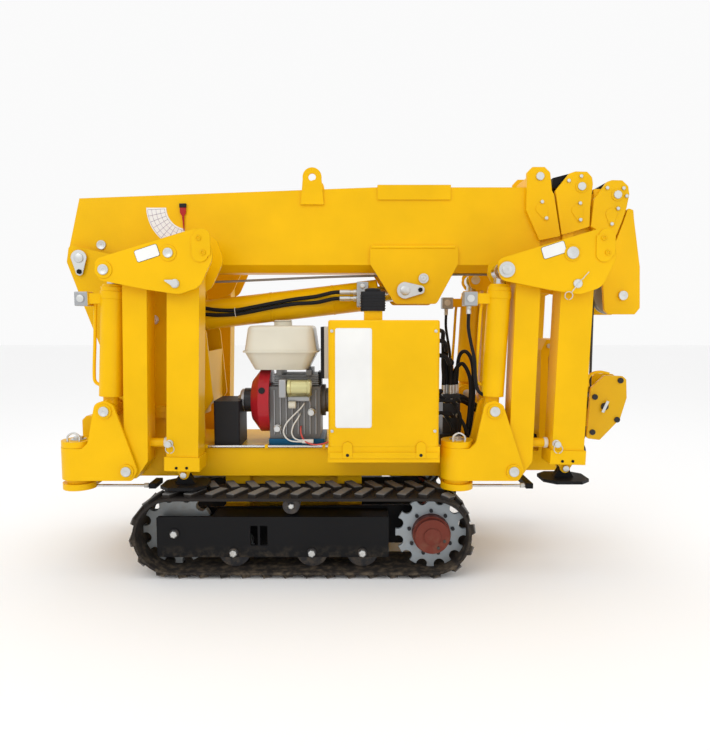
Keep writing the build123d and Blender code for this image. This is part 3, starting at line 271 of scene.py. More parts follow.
for side_name, side in SIDES:
    dress(belt_rubber, f"track_belt_{side_name}")
    dress(black_paint, f"track_frame_{side_name}")
    dress(sprocket_metal, f"sprocket_{side_name}")
    dress(wheel_metal, f"track_wheels_{side_name}")
    zinced(
        f"axle_nuts_{side_name}", outward(side, FRAME_FACE, *ROLLER_SPOTS),
        [(0.013, 0), (0.013, 0.009), (0.010, 0.011)], sides=6,
    )
    zinced(
        f"top_roller_nut_{side_name}", outward(side, TOP_FACE, (-0.225, 0.2457)),
        [(0.011, 0), (0.011, 0.008), (0.008, 0.010)], sides=6,
    )
    screws = [
        (SPROCKET_X + SCREW_CIRCLE * math.cos(t), WHEEL_Z + SCREW_CIRCLE * math.sin(t))
        for t in (math.radians(-62), math.radians(-20))
    ]
    turned(
        f"motor_screws_{side_name}", outward(side, MOTOR_FACE, *screws),
        [(0.0055, 0), (0.0055, 0.003), (0.004, 0.004)], dark_steel, "root", sides=10,
    )
    turned(
        f"motor_cap_{side_name}", outward(side, MOTOR_FACE, (SPROCKET_X, WHEEL_Z)),
        [(0.030, 0), (0.030, 0.0035), (0.025, 0.005)], sprocket_metal, "root",
    )

# Chassis. One welded frame of painted steel plate with four swivel posts, each held by a bolt in
# its cap. A bright rod is clipped along the near beam, and tie rods run under the brackets.
YELLOW = (0.88, 0.500, 0.001)
paint = surface("yellow_paint", YELLOW, 0.40, coat=0.03, reach=0.32, bump=0.05)
steel = surface("bright_steel", (0.62, 0.62, 0.62), 0.22, metal=1.0, reach=0.3, bump=0.03)


def smooth_line(points, steps=14):
    """Catmull-Rom from b to c, with a before and d after them:
    p(t) = (2b + (c - a) t + (2a - 5b + 4c - d) t^2 + (3b - a - 3c + d) t^3) / 2."""
    p = np.array(points, float)
    p = np.vstack([2 * p[0] - p[1], p, 2 * p[-1] - p[-2]])
    a, b, c, d = p[:-3, None], p[1:-2, None], p[2:-1, None], p[3:, None]
    t = np.linspace(0, 1, steps, endpoint=False)[:, None]
    line = 2 * b + (c - a) * t + (2 * a - 5 * b + 4 * c - d) * t**2 + (3 * b - a - 3 * c + d) * t**3
    return np.vstack([line.reshape(-1, 3) / 2, p[-2]])


def tube(name, lines, radius, material, body, sides=10):
    """Round bars in one mesh: point = line(i) + radius (u cos t + v sin t). The frame u, v turns as
    little as it can along the line: u(i) is u(i-1) less its share along the tangent."""
    turn = np.linspace(0, 2 * math.pi, sides, endpoint=False)[:, None]
    shapes = []
    for line in lines:
        line = np.array(line, float)
        tangents = np.gradient(line, axis=0)
        tangents /= np.linalg.norm(tangents, axis=1)[:, None]
        u = np.cross(tangents[0], (0.2, 0.1, 1.0) if abs(tangents[0][2]) < 0.9 else (1.0, 0, 0))
        frames = []
        for a in tangents:
            u = u - a * u.dot(a)
            u /= np.linalg.norm(u)
            frames.append(u)
        frames = np.array(frames)[:, None]
        square = np.cross(tangents[:, None], frames)
        shapes.append(line[:, None] + radius * (np.cos(turn) * frames + np.sin(turn) * square))
    return lofts(name, shapes, material, body, smooth=True)


def bricks(name, boxes, material, body, round_edge=0.002):
    """Boxes (x0, x1, y0, y1, z0, z1) in one mesh: a ring of four corners at z0 and one at z1, with
    rounded edges."""
    b = np.array(boxes, float)
    corners = np.broadcast_arrays(b[:, None, [0, 1, 1, 0]], b[:, None, [2, 2, 3, 3]], b[:, [4, 5], None])
    made = lofts(name, list(np.stack(corners, axis=-1)), material, body)
    edge = made.modifiers.new("edge", "BEVEL")
    edge.width = round_edge
    edge.segments = 2
    return made


dress(paint, "chassis_frame", "column")
POST_XS, POST_Y, CAP_TOP = (-0.980, 0.362), 0.272, 0.4753
HANDLE_Y, HANDLE = 0.040, ((-0.020, -0.004), (-0.020, 0.018), (0, 0.030), (0.020, 0.018), (0.020, -0.004))
posts = [(x, side) for x in POST_XS for side in (-1, 1)]
caps = [((x, side * POST_Y, CAP_TOP), (0, 0, 1)) for x, side in posts]
zinced("cap_bolts", caps, [(0.017, 0), (0.017, 0.010), (0.014, 0.012)], sides=6)
zinced("cap_washers", caps, [(0.027, 0), (0.027, 0.003)])
handles = [
    smooth_line([(x + a, side * (POST_Y + HANDLE_Y), CAP_TOP + b) for a, b in HANDLE], 8)
    for x, side in posts
]
tube("post_handles", handles, 0.0035, zinc, "root")
tube(
    "beam_rod", [[(-0.56, -0.203, 0.436), (-0.096, -0.203, 0.436)]],
    0.0055, steel, "root", sides=14,
)
bricks(
    "rod_clips", [(x, x + 0.012, -0.210, -0.1951, 0.4295, 0.4435) for x in (-0.55, -0.33, -0.12)],
    paint, "root", round_edge=0.001,
)
TIE_Y, TIE_Z = 0.268, 0.3085
ties = [[(x + 0.056, side * TIE_Y, TIE_Z), (x + 0.250, side * TIE_Y, TIE_Z)] for x, side in posts]
tube("tie_rods", ties, 0.0048, steel, "root", sides=12)
zinced(
    "tie_rod_nuts", [((x + 0.228, side * TIE_Y, TIE_Z), (1, 0, 0)) for x, side in posts],
    [(0.009, 0), (0.009, 0.014)], sides=6,
)
TOWER_FACE, BEAM_FACE = 0.1101, 0.1951
lugs = []
for x, side in posts:
    inner = TOWER_FACE if x > 0 else BEAM_FACE
    lugs.append((x + 0.246, x + 0.272, *sorted((side * inner, side * 0.281)), 0.299, 0.3180))
bricks("tie_rod_lugs", lugs, black_paint, "root")
tower = [
    ((x, side * TOWER_FACE, z), (0, side, 0))
    for x in (0.728, 0.768) for z in (0.43, 0.80) for side in (-1, 1)
]
zinced("tower_bolts", tower, [(0.009, 0), (0.009, 0.006), (0.007, 0.007)], sides=6)

# Engine. A small air-cooled petrol engine of cast aluminium, bolted to the deck, with cooling fins,
# a red moulded fan cover with its pull starter, a zinc-plated carburettor cover and loose wires.
cream_plastic = surface("cream_plastic", (0.72, 0.69, 0.58), 0.35, coat=0.3, reach=0.3, bump=0.05)
black_plastic = surface("black_plastic", (0.02, 0.02, 0.022), 0.5, reach=0.4, bump=0.2, grain=600.0)
brass_metal = surface("yellow_zinc", (0.62, 0.58, 0.30), 0.38, metal=0.9, reach=0.3, bump=0.1)
cast_metal = surface(
    "cast_aluminium", (0.42, 0.43, 0.44), 0.48, metal=0.9, reach=0.3, bump=0.4, grain=500.0,
)
hose_rubber = surface("hose_rubber", (0.014, 0.014, 0.015), 0.48, reach=0.5, bump=0.3, grain=900.0)


def hose(name, points, radius, body="root", material=hose_rubber):
    """A free hose or wire through the points, fixed at both ends; its length is its line's own."""
    line = smooth_line(points)
    made = tube(name, [line], radius, material, body)


engine_grey = surface(
    "engine_grey", (0.17, 0.165, 0.16), 0.45, metal=0.6, reach=0.3, bump=0.4, grain=420.0,
    regions=[(lambda tree: band(tree, along(tree, "Z"), 0.0, 0.4598), (0.015, 0.10, 0.20))],
)
fan_red = surface(
    "fan_red", (0.42, 0.016, 0.024), 0.34, coat=0.3, reach=0.3, bump=0.05,
    regions=[(lambda tree: band(tree, along(tree, "X"), -1.0, -0.3893), (0.03, 0.03, 0.032))],
)
ENGINE_Y, CRANK_Z = -0.075, 0.592
dress(engine_grey, "engine_block")
dress(fan_red, "fan_cover")
dress(cream_plastic, "fuel_tank")
filter_case = surface(
    "filter_case", (0.62, 0.60, 0.55), 0.4, reach=0.3, bump=0.05,
    regions=[(lambda tree: band(tree, along(tree, "X"), -0.2, -0.1130), (0.02, 0.02, 0.022))],
)
dress(filter_case, "air_filter")
bricks(
    "cooling_fins",
    [
        (-0.305, -0.1355, ENGINE_Y - 0.066, ENGINE_Y + 0.085, z, z + 0.0025)
        for z in np.arange(0.656, 0.692, 0.007)
    ],
    cast_metal, "root", round_edge=0.0005,
)
bricks(
    "crankcase_ribs",
    [
        (x, x + 0.004, ENGINE_Y - 0.0965, ENGINE_Y - 0.0895, 0.475, 0.64)
        for x in np.arange(-0.30, -0.135, 0.022)
    ],
    cast_metal, "root", round_edge=0.001,
)
turned(
    "carburettor_cover", [((-0.248, -0.197, 0.650), (1, 0, 0))],
    [
        (0.024, 0), (0.031, 0.003), (0.032, 0.014), (0.030, 0.016), (0.030, 0.074), (0.032, 0.076),
        (0.031, 0.087), (0.024, 0.090),
    ],
    brass_metal, "root", sides=36,
)
turned(
    "pull_starter", [((-0.4202, ENGINE_Y, CRANK_Z), (-1, 0, 0))],
    [(0.043, 0), (0.043, 0.010), (0.036, 0.016), (0.020, 0.018), (0.018, 0.026)],
    cast_metal, "root", sides=32,
)
zinced(
    "engine_plugs",
    [((x, ENGINE_Y - 0.0902, z), (0, -1, 0)) for x, z in ((-0.160, 0.560), (-0.285, 0.500))],
    [(0.014, 0), (0.014, 0.022), (0.011, 0.024), (0.011, 0.038)], sides=18,
)
bricks(
    "carburettor",
    [(-0.275, -0.2482, -0.226, -0.1652, 0.617, 0.683), (-0.246, -0.164, -0.192, -0.1652, 0.600, 0.620)],
    cast_metal, "root", round_edge=0.004,
)
turned(
    "fuel_filter", [((-0.243, -0.199, 0.589), (1, 0, 0))],
    [(0.010, 0), (0.0135, 0.002), (0.0135, 0.026), (0.010, 0.028)], cream_plastic, "root", sides=20,
)
turned(
    "tank_cap", [((-0.273, -0.075, 0.8902), (0, 0, 1))],
    [(0.030, 0), (0.034, 0.002), (0.034, 0.005), (0.030, 0.007)], cream_plastic, "root", sides=24,
)
turned(
    "fan_cover_plug", [((-0.342, ENGINE_Y - 0.1107, CRANK_Z + 0.047), (0, -0.92, 0.391))],
    [(0.012, -0.004), (0.012, 0.003), (0.008, 0.0035)], black_plastic, "root", sides=20,
)
wire_white = surface("white_wire", (0.75, 0.74, 0.70), 0.45, reach=0.2, bump=0.02)
wire_red = surface("red_wire", (0.70, 0.10, 0.08), 0.45, reach=0.2, bump=0.02)
WIRE_Y, WIRE_R = ENGINE_Y - 0.0905, 0.0028
WIRES = [
    (
        "wire_a", wire_white,
        [
            (-0.187, 0, 0.594), (-0.188, 0.018, 0.590), (-0.200, 0.026, 0.574), (-0.224, 0.024, 0.550),
            (-0.250, 0.026, 0.522), (-0.262, 0.030, 0.492), (-0.254, 0.033, 0.469), (-0.235, 0.034, 0.456),
            (-0.205, 0.034, 0.4525), (-0.192, 0.034, 0.4525),
        ],
    ),
    (
        "wire_b", wire_white,
        [
            (-0.202, 0, 0.553), (-0.203, 0.016, 0.550), (-0.211, 0.024, 0.536), (-0.225, 0.026, 0.514),
            (-0.232, 0.030, 0.487), (-0.224, 0.033, 0.468), (-0.207, 0.034, 0.4590), (-0.192, 0.034, 0.4585),
        ],
    ),
    (
        "wire_c", wire_red,
        [
            (-0.200, 0, 0.504), (-0.200, 0.017, 0.500), (-0.197, 0.027, 0.478), (-0.182, 0.038, 0.455),
            (-0.152, 0.048, 0.4450), (-0.120, 0.064, 0.4500), (-0.098, 0.080, 0.460),
            (-0.0885, 0.087, 0.463),
        ],
    ),
]
for name, material, points in WIRES:
    hose(
        name, [(x, WIRE_Y - y, z) for x, y, z in points],
        WIRE_R, material=material,
    )
bricks(
    "wire_plug", [(-0.193, -0.152, WIRE_Y - 0.040, WIRE_Y - 0.029, 0.4480, 0.4620)],
    wire_white, "root", round_edge=0.001,
)

# Tanks and hydraulics. The oil tank is folded sheet steel with a screwed front, a blank white sheet
# and a moulded black filler. Rubber hoses on zinc fittings join the valve bank to tank and rams.
clean_paint = surface("yellow_boom_paint", YELLOW, 0.36, coat=0.05, reach=0.3, bump=0.04)
white_sheet = surface("white_sheet", (0.86, 0.86, 0.84), 0.35, reach=0.2, bump=0.02)


def sheets(name, outlines, faces, material, body):
    """Upright plates in one mesh: each outline of (x, z) points stands at both y faces."""
    far_first = sorted(faces, reverse=True)
    shapes = [np.stack([np.insert(outline, 1, y, axis=1) for y in far_first]) for outline in outlines]
    return lofts(name, shapes, material, body)


def rounded(x0, x1, z0, z1, r, count):
    """The outline of a plate: a quarter turn of radius r about each corner of this rectangle."""
    corners = ((x1, z1, 0), (x0, z1, 90), (x0, z0, 180), (x1, z0, 270))
    turns = [
        (x, z, t) for x, z, start in corners for t in np.radians(np.linspace(start, start + 90, count))
    ]
    return [(x + r * math.cos(t), z + r * math.sin(t)) for x, z, t in turns]


dress(clean_paint, "oil_tank")
dress(black_plastic, "filler_filter")
valve_metal = surface("valve_metal", (0.05, 0.05, 0.052), 0.4, metal=0.5, reach=0.3, bump=0.4, grain=420.0)
dress(valve_metal, "valve_bank")
dress(black_plastic, "battery_box")
TANK_FACE = -0.3552
sheets(
    "blank_sheet", [rounded(-0.059, 0.049, 0.539, 0.862, 0.008, 6)], (TANK_FACE - 0.0008, TANK_FACE),
    white_sheet, "root",
)
TAB_XS, TAB_R, TAB_LOW, TAB_TOP = (-0.0256, 0.2252), 0.0166, 0.4262, 0.467
half = [(TAB_R * math.cos(t), TAB_R * math.sin(t)) for t in np.linspace(0, math.pi, 14)]
tabs = [
    [(x - TAB_R, TAB_LOW), (x + TAB_R, TAB_LOW)] + [(x + a, TAB_TOP + b) for a, b in half] for x in TAB_XS
]
sheets("tray_tabs", tabs, (TANK_FACE - 0.0055, TANK_FACE - 0.0003), clean_paint, "root")
bricks(
    "tray_lip", [(-0.088, 0.2852, TANK_FACE - 0.0035, TANK_FACE - 0.0003, 0.4252, 0.4470)],
    clean_paint, "root", round_edge=0.001,
)
turned(
    "tray_holes", [((x, TANK_FACE - 0.0057, 0.4372), (0, -1, 0)) for x in TAB_XS],
    [(0.0056, 0), (0.0056, 0.0006)], black_plastic, "root", sides=16,
)
zinced(
    "tank_screws", [((x, TANK_FACE, z), (0, -1, 0)) for x in (-0.078, 0.272) for z in (0.52, 0.86)],
    [(0.006, 0), (0.006, 0.003), (0.004, 0.004)], sides=6,
)
bricks(
    "filler_ribs",
    [(0.0185, 0.1045, -0.3215, -0.2385, z, z + 0.004) for z in np.arange(0.934, 0.988, 0.009)],
    black_plastic, "root", round_edge=0.001,
)
turned(
    "filler_cap", [((0.0615, -0.280, 0.9942), (0, 0, 1))], [(0.028, 0), (0.028, 0.008), (0.022, 0.012)],
    black_plastic, "root",
)
turned(
    "lever_knobs", [((0.362, y, 0.7262), (0, 0, 1)) for y in (-0.110, -0.080, -0.050, -0.020, 0.010)],
    [(0.005, 0), (0.010, 0.004), (0.012, 0.012), (0.009, 0.020), (0.003, 0.023)],
    black_plastic, "root", sides=16,
)
PORT_FACE, FITTING_END, ELBOW_END = -0.1302, -0.1520, 0.2964
TANK_PORTS = (0.640, 0.606, 0.560)
PORTS = [(0.338, 0.595), (0.362, 0.595), (0.386, 0.595), (0.338, 0.540), (0.362, 0.540), (0.386, 0.540)]
zinced(
    "valve_fittings", [((x, PORT_FACE, z), (0, -1, 0)) for x, z in PORTS],
    [(0.009, 0), (0.009, 0.012), (0.007, 0.013), (0.007, 0.022)], sides=12,
)
for k, (x, z) in enumerate(PORTS):
    if k % 2:
        low = 0.012 + 0.006 * k
        path = [
            (x, FITTING_END, z), (x, -0.172, z - 0.002), (x + 0.012, -0.188 - 0.002 * k, z - 0.024),
            (x + 0.024, -0.188 - 0.002 * k, z - 0.060), (x + low, -0.178, 0.4500), (x + low, -0.176, 0.4315),
        ]
    else:
        end_z = TANK_PORTS[k // 2]
        path = [
            (x, FITTING_END, z), (x - 0.001, -0.170, z + 0.002), (x - 0.012, -0.186, z + 0.012),
            (x - 0.030, -0.192, (z + 2 * end_z) / 3), (0.3140, -0.200, end_z), (ELBOW_END, -0.218, end_z),
        ]
    hose(f"valve_hose_{k}", path, radius=0.0068)
ELBOW_Y, BANK_TOP, FERRULE_TOP = -0.2205, 0.6202, 0.6540
ARCHES = [(0.372, -0.112), (0.385, -0.100)]
RISERS = [(0.333, -0.122, 0.862), (0.346, -0.108, 0.825), (0.359, -0.122, 0.772)]
for k, (x, y, top) in enumerate(RISERS):
    hose(
        f"rising_hose_{k}",
        [
            (x, y, FERRULE_TOP), (x, y - 0.002, 0.690), (x - 0.004, y - 0.012, 0.730),
            (x - 0.008, y - 0.040, (0.730 + top) / 2), (0.3190 + 0.012 * k, -0.188, top - 0.034),
            (0.3160 + 0.006 * k, -0.204, top - 0.008), (ELBOW_END, ELBOW_Y, top),
        ],
        radius=0.0078,
    )
zinced(
    "tank_elbows",
    [
        ((ELBOW_END - 0.010, ELBOW_Y, z), (1, 0, 0))
        for z in [riser[2] for riser in RISERS] + list(TANK_PORTS)
    ],
    [(0.0105, 0), (0.0105, 0.006), (0.0088, 0.007), (0.0088, 0.011)], sides=12,
)
for k, (x, y) in enumerate(ARCHES):
    top = 0.735 + 0.045 * k
    hose(
        f"arching_hose_{k}",
        [
            (x, y, FERRULE_TOP), (x, y - 0.004, 0.680), (x + 0.006, y - 0.016, top - 0.020),
            (x + 0.028, y - 0.030, top), (x + 0.050, y - 0.044, top - 0.040), (x + 0.055, y - 0.056, 0.640),
            (x + 0.048, y - 0.062, 0.540), (x + 0.036, y - 0.060, 0.450), (x + 0.036, y - 0.059, 0.4318),
        ],
        radius=0.0072,
    )
zinced(
    "rising_ferrules", [((x, y, BANK_TOP), (0, 0, 1)) for x, y in [riser[:2] for riser in RISERS] + ARCHES],
    [(0.0092, 0), (0.0092, 0.014), (0.0082, 0.015), (0.0082, 0.034)], sides=12,
)
for k in range(4):
    y = -0.075 + 0.032 * k
    hose(
        f"tower_hose_{k}",
        [
            (0.3952, y, 0.598 - 0.018 * (k % 2)), (0.425, y, 0.597 - 0.018 * (k % 2)),
            (0.480, y + 0.004, 0.560 - 0.02 * (k % 2)), (0.540, y + 0.006, 0.500 - 0.02 * (k % 2)),
            (0.600, y + 0.004, 0.455), (0.660, y, 0.450), (0.6998, y, 0.452),
        ],
        radius=0.0075,
    )
for k, side in enumerate((-1, -1, 1, 1)):
    x = 0.290 + 0.028 * (k % 2)
    hose(
        f"motor_hose_{k}",
        [
            (x + 0.04, side * 0.178, 0.3245), (x + 0.05, side * 0.180, 0.300),
            (x + 0.052, side * 0.185, 0.262), (x + 0.035, side * 0.188, 0.222), (x, side * 0.190, 0.190),
            (x - 0.030, side * 0.1935, 0.165),
        ],
        radius=0.0060,
    )

# Outriggers. Folding arms of welded yellow box steel turn on zinc pins with keeper rings. Each has
# a blank number plate, a bolted doubler, a rubber stop, and a ram with gland, valve and pipe.
plate_white = surface("blank_plate", (0.88, 0.88, 0.86), 0.28, reach=0.1, bump=0.01)
white_rubber = surface("white_rubber", (0.74, 0.73, 0.68), 0.5, reach=0.2, bump=0.1)
PIN_HEAD = [
    (0.0175, 0), (0.0175, 0.004), (0.016, 0.0055), (0.012, 0.0055), (0.0110, 0.0048), (0.004, 0.0048),
    (0.003, 0.0036),
]
BIG_HEAD = [
    (0.0265, 0), (0.0265, 0.003), (0.0165, 0.0032), (0.0165, 0.008), (0.015, 0.009), (0.004, 0.009),
    (0.003, 0.0078),
]
SMALL_HEAD = [(0.0150, 0), (0.0150, 0.005), (0.0135, 0.0065), (0.004, 0.0065)]
FOOT_PIN, RAM_PIN, ROD_PIN = (0.188, 0.374), (0.118, 0.584), (0.143, 1.064)
ELBOW_PIN, LATCH_PIN = (0.360, 1.119), (0.380, 1.018)
BRACKET_FACE, CHEEK_FACE, ARM_FACE, DOUBLER_TOP = 0.0642, 0.0862, 0.0892, 0.0900
PLATE_X, PLATE_Z, PLATE_CORNER, PLATE_RIM, PLATE_TILT = 0.033, 0.0135, 0.006, 0.0012, math.radians(18)
ENDS = (("rear", POST_XS[0], 0.372), ("front", POST_XS[1], 0.396))
OUTRIGGERS = [
    (f"{end}_{side_name}", x, side, arm_end) for side_name, side in SIDES for end, x, arm_end in ENDS
]
LOCK_PIN, LOCK_FACE = (0.336, 0.470), 0.0452
GLAND_AT, BAND_AT, ANKLE_X, SCREW_FACE = 0.4282, 0.400, 0.3775, 0.0512
RAM_HOSE = [
    (0.034, 0, 0.9190), (0.034, 0, 0.870), (0.042, 0.006, 0.820), (0.054, 0.014, 0.760),
    (0.058, 0.018, 0.700), (0.066, 0.018, 0.655), (0.0885, 0.012, 0.634),
]
CAPSULE = [
    (
        0.469 + 0.028 * math.cos(t) + (-0.0035 if math.cos(t - 1.33) < 0 else 0.0035),
        1.144 + 0.028 * math.sin(t) + (0.027 if math.sin(t) > 0 else -0.027),
    )
    for t in np.linspace(0, 2 * math.pi, 40, endpoint=False)
]


def wire_ring(name, centre, radius, body):
    """A ring of zinc-plated wire: centre + radius (cos t, 0, sin t), a little open at the bottom."""
    x, y, z = centre
    ring = [(x + radius * math.cos(t), y, z + radius * math.sin(t)) for t in np.linspace(-1.4, 4.5, 26)]
    tube(name, [ring], 0.0016, zinc, body, sides=8)


def teardrop(centre, big, tip, small):
    """The outline round two circles: a half turn about each, square to the line between them."""
    lean = math.atan2(tip[1] - centre[1], tip[0] - centre[0])
    outline = []
    for (x, z), r, start in ((centre, big, lean + math.pi / 2), (tip, small, lean - math.pi / 2)):
        outline += [
            (x + r * math.cos(t), z + r * math.sin(t)) for t in np.linspace(start, start + math.pi, 16)
        ]
    return outline


for name, post_x, side, arm_end in OUTRIGGERS:
    front = name.startswith("front")
    nodes = [f"{part}_{name}" for part in ("bracket", "inner_arm", "ram_barrel", "outer_arm", "leg")]
    bodies = nodes if front else [f"outrigger_{name}"] * 5
    bracket_body, inner_body, barrel_body, outer_body, leg_body = bodies
    y0 = side * POST_Y

    def spots(off, *points):
        """Spots at these points of the outrigger, off metres out from its middle, facing away."""
        return [((post_x + x, y0 + side * off, z), (0, side if off > 0 else -side, 0)) for x, z in points]

    def plate(label, outline, faces, material):
        """An upright plate on the inner arm; its faces stand this far out from the arm's middle."""
        sheets(f"{label}_{name}", [outline], [y0 + side * off for off in faces], material, inner_body)

    dress(paint, *nodes)
    dress(steel, f"ram_rod_{name}")
    dress(black_paint, f"foot_{name}")
    zinced(f"bracket_pins_{name}", spots(BRACKET_FACE, FOOT_PIN, RAM_PIN), PIN_HEAD, bracket_body)
    zinced(
        f"bracket_pin_ends_{name}", spots(-BRACKET_FACE, FOOT_PIN, RAM_PIN),
        [(0.016, 0), (0.016, 0.004), (0.012, 0.005)], bracket_body,
    )
    zinced(f"rod_pin_{name}", spots(ARM_FACE, ROD_PIN), BIG_HEAD if front else PIN_HEAD, inner_body)
    zinced(
        f"elbow_pin_{name}", spots(ARM_FACE, ELBOW_PIN),
        [(r * (1.15 if front else 0.95), h) for r, h in PIN_HEAD], inner_body,
    )
    zinced(
        f"elbow_pin_ends_{name}", spots(-ARM_FACE, ROD_PIN, ELBOW_PIN),
        [(0.018, 0), (0.018, 0.004), (0.013, 0.005)], inner_body,
    )
    zinced(f"latch_pin_{name}", spots(CHEEK_FACE, LATCH_PIN), SMALL_HEAD, inner_body)
    latch_x, latch_z = post_x + LATCH_PIN[0], LATCH_PIN[1]
    if front:
        wire_ring(
            f"latch_ring_{name}", (latch_x - 0.030, y0 + side * 0.0915, latch_z - 0.040), 0.013, inner_body,
        )
        pull = [
            (latch_x + a, y0 + side * 0.0942, latch_z + b)
            for a, b in ((0.034, 0.038), (0.0, 0.0), (-0.021, -0.028))
        ]
        tube(f"latch_wire_{name}", [pull], 0.0016, zinc, inner_body, sides=8)
    else:
        tongue = teardrop((latch_x, latch_z), 0.0125, (latch_x - 0.032, latch_z + 0.010), 0.002)
        plate("latch_tongue", tongue, (DOUBLER_TOP, 0.0950), zinc)
    zinced(
        f"lock_pin_{name}", spots(LOCK_FACE, LOCK_PIN),
        [(0.013, 0), (0.013, 0.004), (0.009, 0.005), (0.009, 0.018), (0.011, 0.019), (0.011, 0.024)],
        outer_body,
    )
    wire_ring(
        f"lock_ring_{name}", (post_x + LOCK_PIN[0] + 0.004, y0 + side * 0.0600, LOCK_PIN[1] - 0.017),
        0.015, outer_body,
    )
    middle = (0.298, 1.1285) if front else (0.2895, 1.118)
    number, border = [
        [
            (
                post_x + middle[0] + a * math.cos(PLATE_TILT) - b * math.sin(PLATE_TILT),
                middle[1] + a * math.sin(PLATE_TILT) + b * math.cos(PLATE_TILT),
            )
            for a, b in rounded(-PLATE_X, PLATE_X, -PLATE_Z, PLATE_Z, corner, 5)
        ]
        for corner in (PLATE_CORNER, PLATE_CORNER + PLATE_RIM)
    ]
    plate("plate_edge", border, (CHEEK_FACE, 0.0868), black_paint)
    plate("blank_plate", number, (0.0869, 0.0876), plate_white)
    plate(
        "elbow_doubler", [(post_x + a, b) for a, b in CAPSULE], (CHEEK_FACE, DOUBLER_TOP), paint,
    )
    turned(
        f"doubler_bolts_{name}", spots(0.0902, (0.462, 1.168), (0.476, 1.120)),
        [(0.009, 0), (0.009, 0.004), (0.006, 0.0045), (0.005, 0.0015)],
        paint, inner_body, sides=18,
    )
    turned(
        f"stop_tip_{name}", [((post_x + 0.306, y0, 0.465), (1, 0, 0))],
        [(0.0175, 0), (0.0185, 0.002), (0.0185, 0.012), (0.0165, 0.0135)], white_rubber, inner_body,
    )
    ram_axis = np.array([ROD_PIN[0] - RAM_PIN[0], 0, ROD_PIN[1] - RAM_PIN[1]])
    ram_axis /= np.linalg.norm(ram_axis)
    ram_foot = np.array([post_x + RAM_PIN[0], y0, RAM_PIN[1]])
    turned(
        f"ram_gland_{name}", [(ram_foot + ram_axis * GLAND_AT, ram_axis)],
        [(0.036, -0.006), (0.036, 0.0), (0.034, 0.008), (0.0235, 0.010), (0.0235, -0.006)],
        paint, barrel_body, sides=32,
    )
    turned(
        f"ram_band_{name}", [(ram_foot + ram_axis * BAND_AT, ram_axis)],
        [(0.040, -0.014), (0.0425, -0.012), (0.0425, 0.012), (0.040, 0.014)],
        paint, barrel_body, sides=32,
    )
    bricks(
        f"ram_port_{name}", [(post_x + 0.014, post_x + 0.0605, y0 - 0.0255, y0 + 0.0255, 0.9455, 0.9945)],
        cast_metal, barrel_body, round_edge=0.003,
    )
    zinced(
        f"ram_valve_{name}", [((post_x + 0.036, y0 - 0.0257 * t, 0.971), (0, -t, 0)) for t in (1, -1)],
        [(0.013, 0), (0.013, 0.004), (0.008, 0.005)], barrel_body, sides=18,
    )
    pipe = (
        (0.0780, 0.953), (0.0750, 0.920), (0.0700, 0.820), (0.0640, 0.715), (0.0665, 0.682), (0.0850, 0.668),
    )
    tube(
        f"ram_pipe_{name}", [smooth_line([(post_x + x, y0, z) for x, z in pipe], 8)],
        0.0058, paint, barrel_body,
    )
    if front:
        zinced(
            f"ram_ferrule_{name}", [((post_x + 0.034, y0, 0.9453), (0, 0, -1))],
            [(0.009, 0), (0.009, 0.008), (0.007, 0.009), (0.0088, 0.012), (0.0088, 0.027)],
            barrel_body, sides=12,
        )
        hose(
            f"ram_hose_{name}", [(post_x + x, y0 + side * y, z) for x, y, z in RAM_HOSE],
            0.0060, barrel_body,
        )
    turned(
        f"collar_screws_{name}",
        spots(SCREW_FACE, *[(ANKLE_X + d, arm_end + 0.012) for d in (-0.019, 0.017)]),
        [(0.005, 0), (0.005, 0.002)], black_paint, outer_body, sides=12,
    )
    zinced(
        f"ankle_ends_{name}",
        [((post_x + ANKLE_X, y0 + t * 0.0322, arm_end - 0.018), (0, t, 0)) for t in (-1, 1)],
        [(0.011, 0), (0.011, 0.005), (0.008, 0.006)], leg_body, sides=16,
    )

# Column and winch. Two welded cheeks carry the boom's pivot and the ram's foot on pins behind
# screwed keeper plates, and the drum between them is wound full of steel wire rope.
dress(wheel_metal, "winch_drum")
BOOM_PIVOT, LUFF_FOOT, WINCH = (-1.013, 1.124), (-0.745, 0.898), (-0.870, 0.975)
PIVOT_SCREW = (BOOM_PIVOT[0] + 0.001, BOOM_PIVOT[1] - 0.050)
COLUMN_FACE = 0.1302
zinced("cheek_pins", both(COLUMN_FACE, LUFF_FOOT, WINCH), PIN_HEAD)
zinced("pivot_heads", both(0.1414, BOOM_PIVOT), [(0.017, 0), (0.017, 0.003), (0.012, 0.005)])
keeper = teardrop(BOOM_PIVOT, 0.029, PIVOT_SCREW, 0.014)
for side_name, side in SIDES:
    sheets(
        f"pivot_keeper_{side_name}", [keeper], (side * 0.1383, side * 0.1413), zinc, "root",
    )
    turned(
        f"keeper_screw_{side_name}", outward(side, COLUMN_FACE, PIVOT_SCREW),
        [(0.0095, 0), (0.0095, 0.016), (0.007, 0.018)], black_paint, "root", sides=6,
    )
ROPE_TURNS, WIND_R, WIND_Y = 13, 0.0498, 0.080
turn = np.linspace(0, 2 * math.pi * ROPE_TURNS, ROPE_TURNS * 22)
rope_grey = surface("wire_rope", (0.30, 0.30, 0.29), 0.5, metal=0.7, reach=0.2, bump=0.9, grain=700.0)
coil = [
    (WINCH[0] + WIND_R * math.cos(t), WIND_Y * (2 * t / turn[-1] - 1), WINCH[1] + WIND_R * math.sin(t))
    for t in turn
]
tube("drum_rope", [coil], 0.0046, rope_grey, "winch", sides=8)

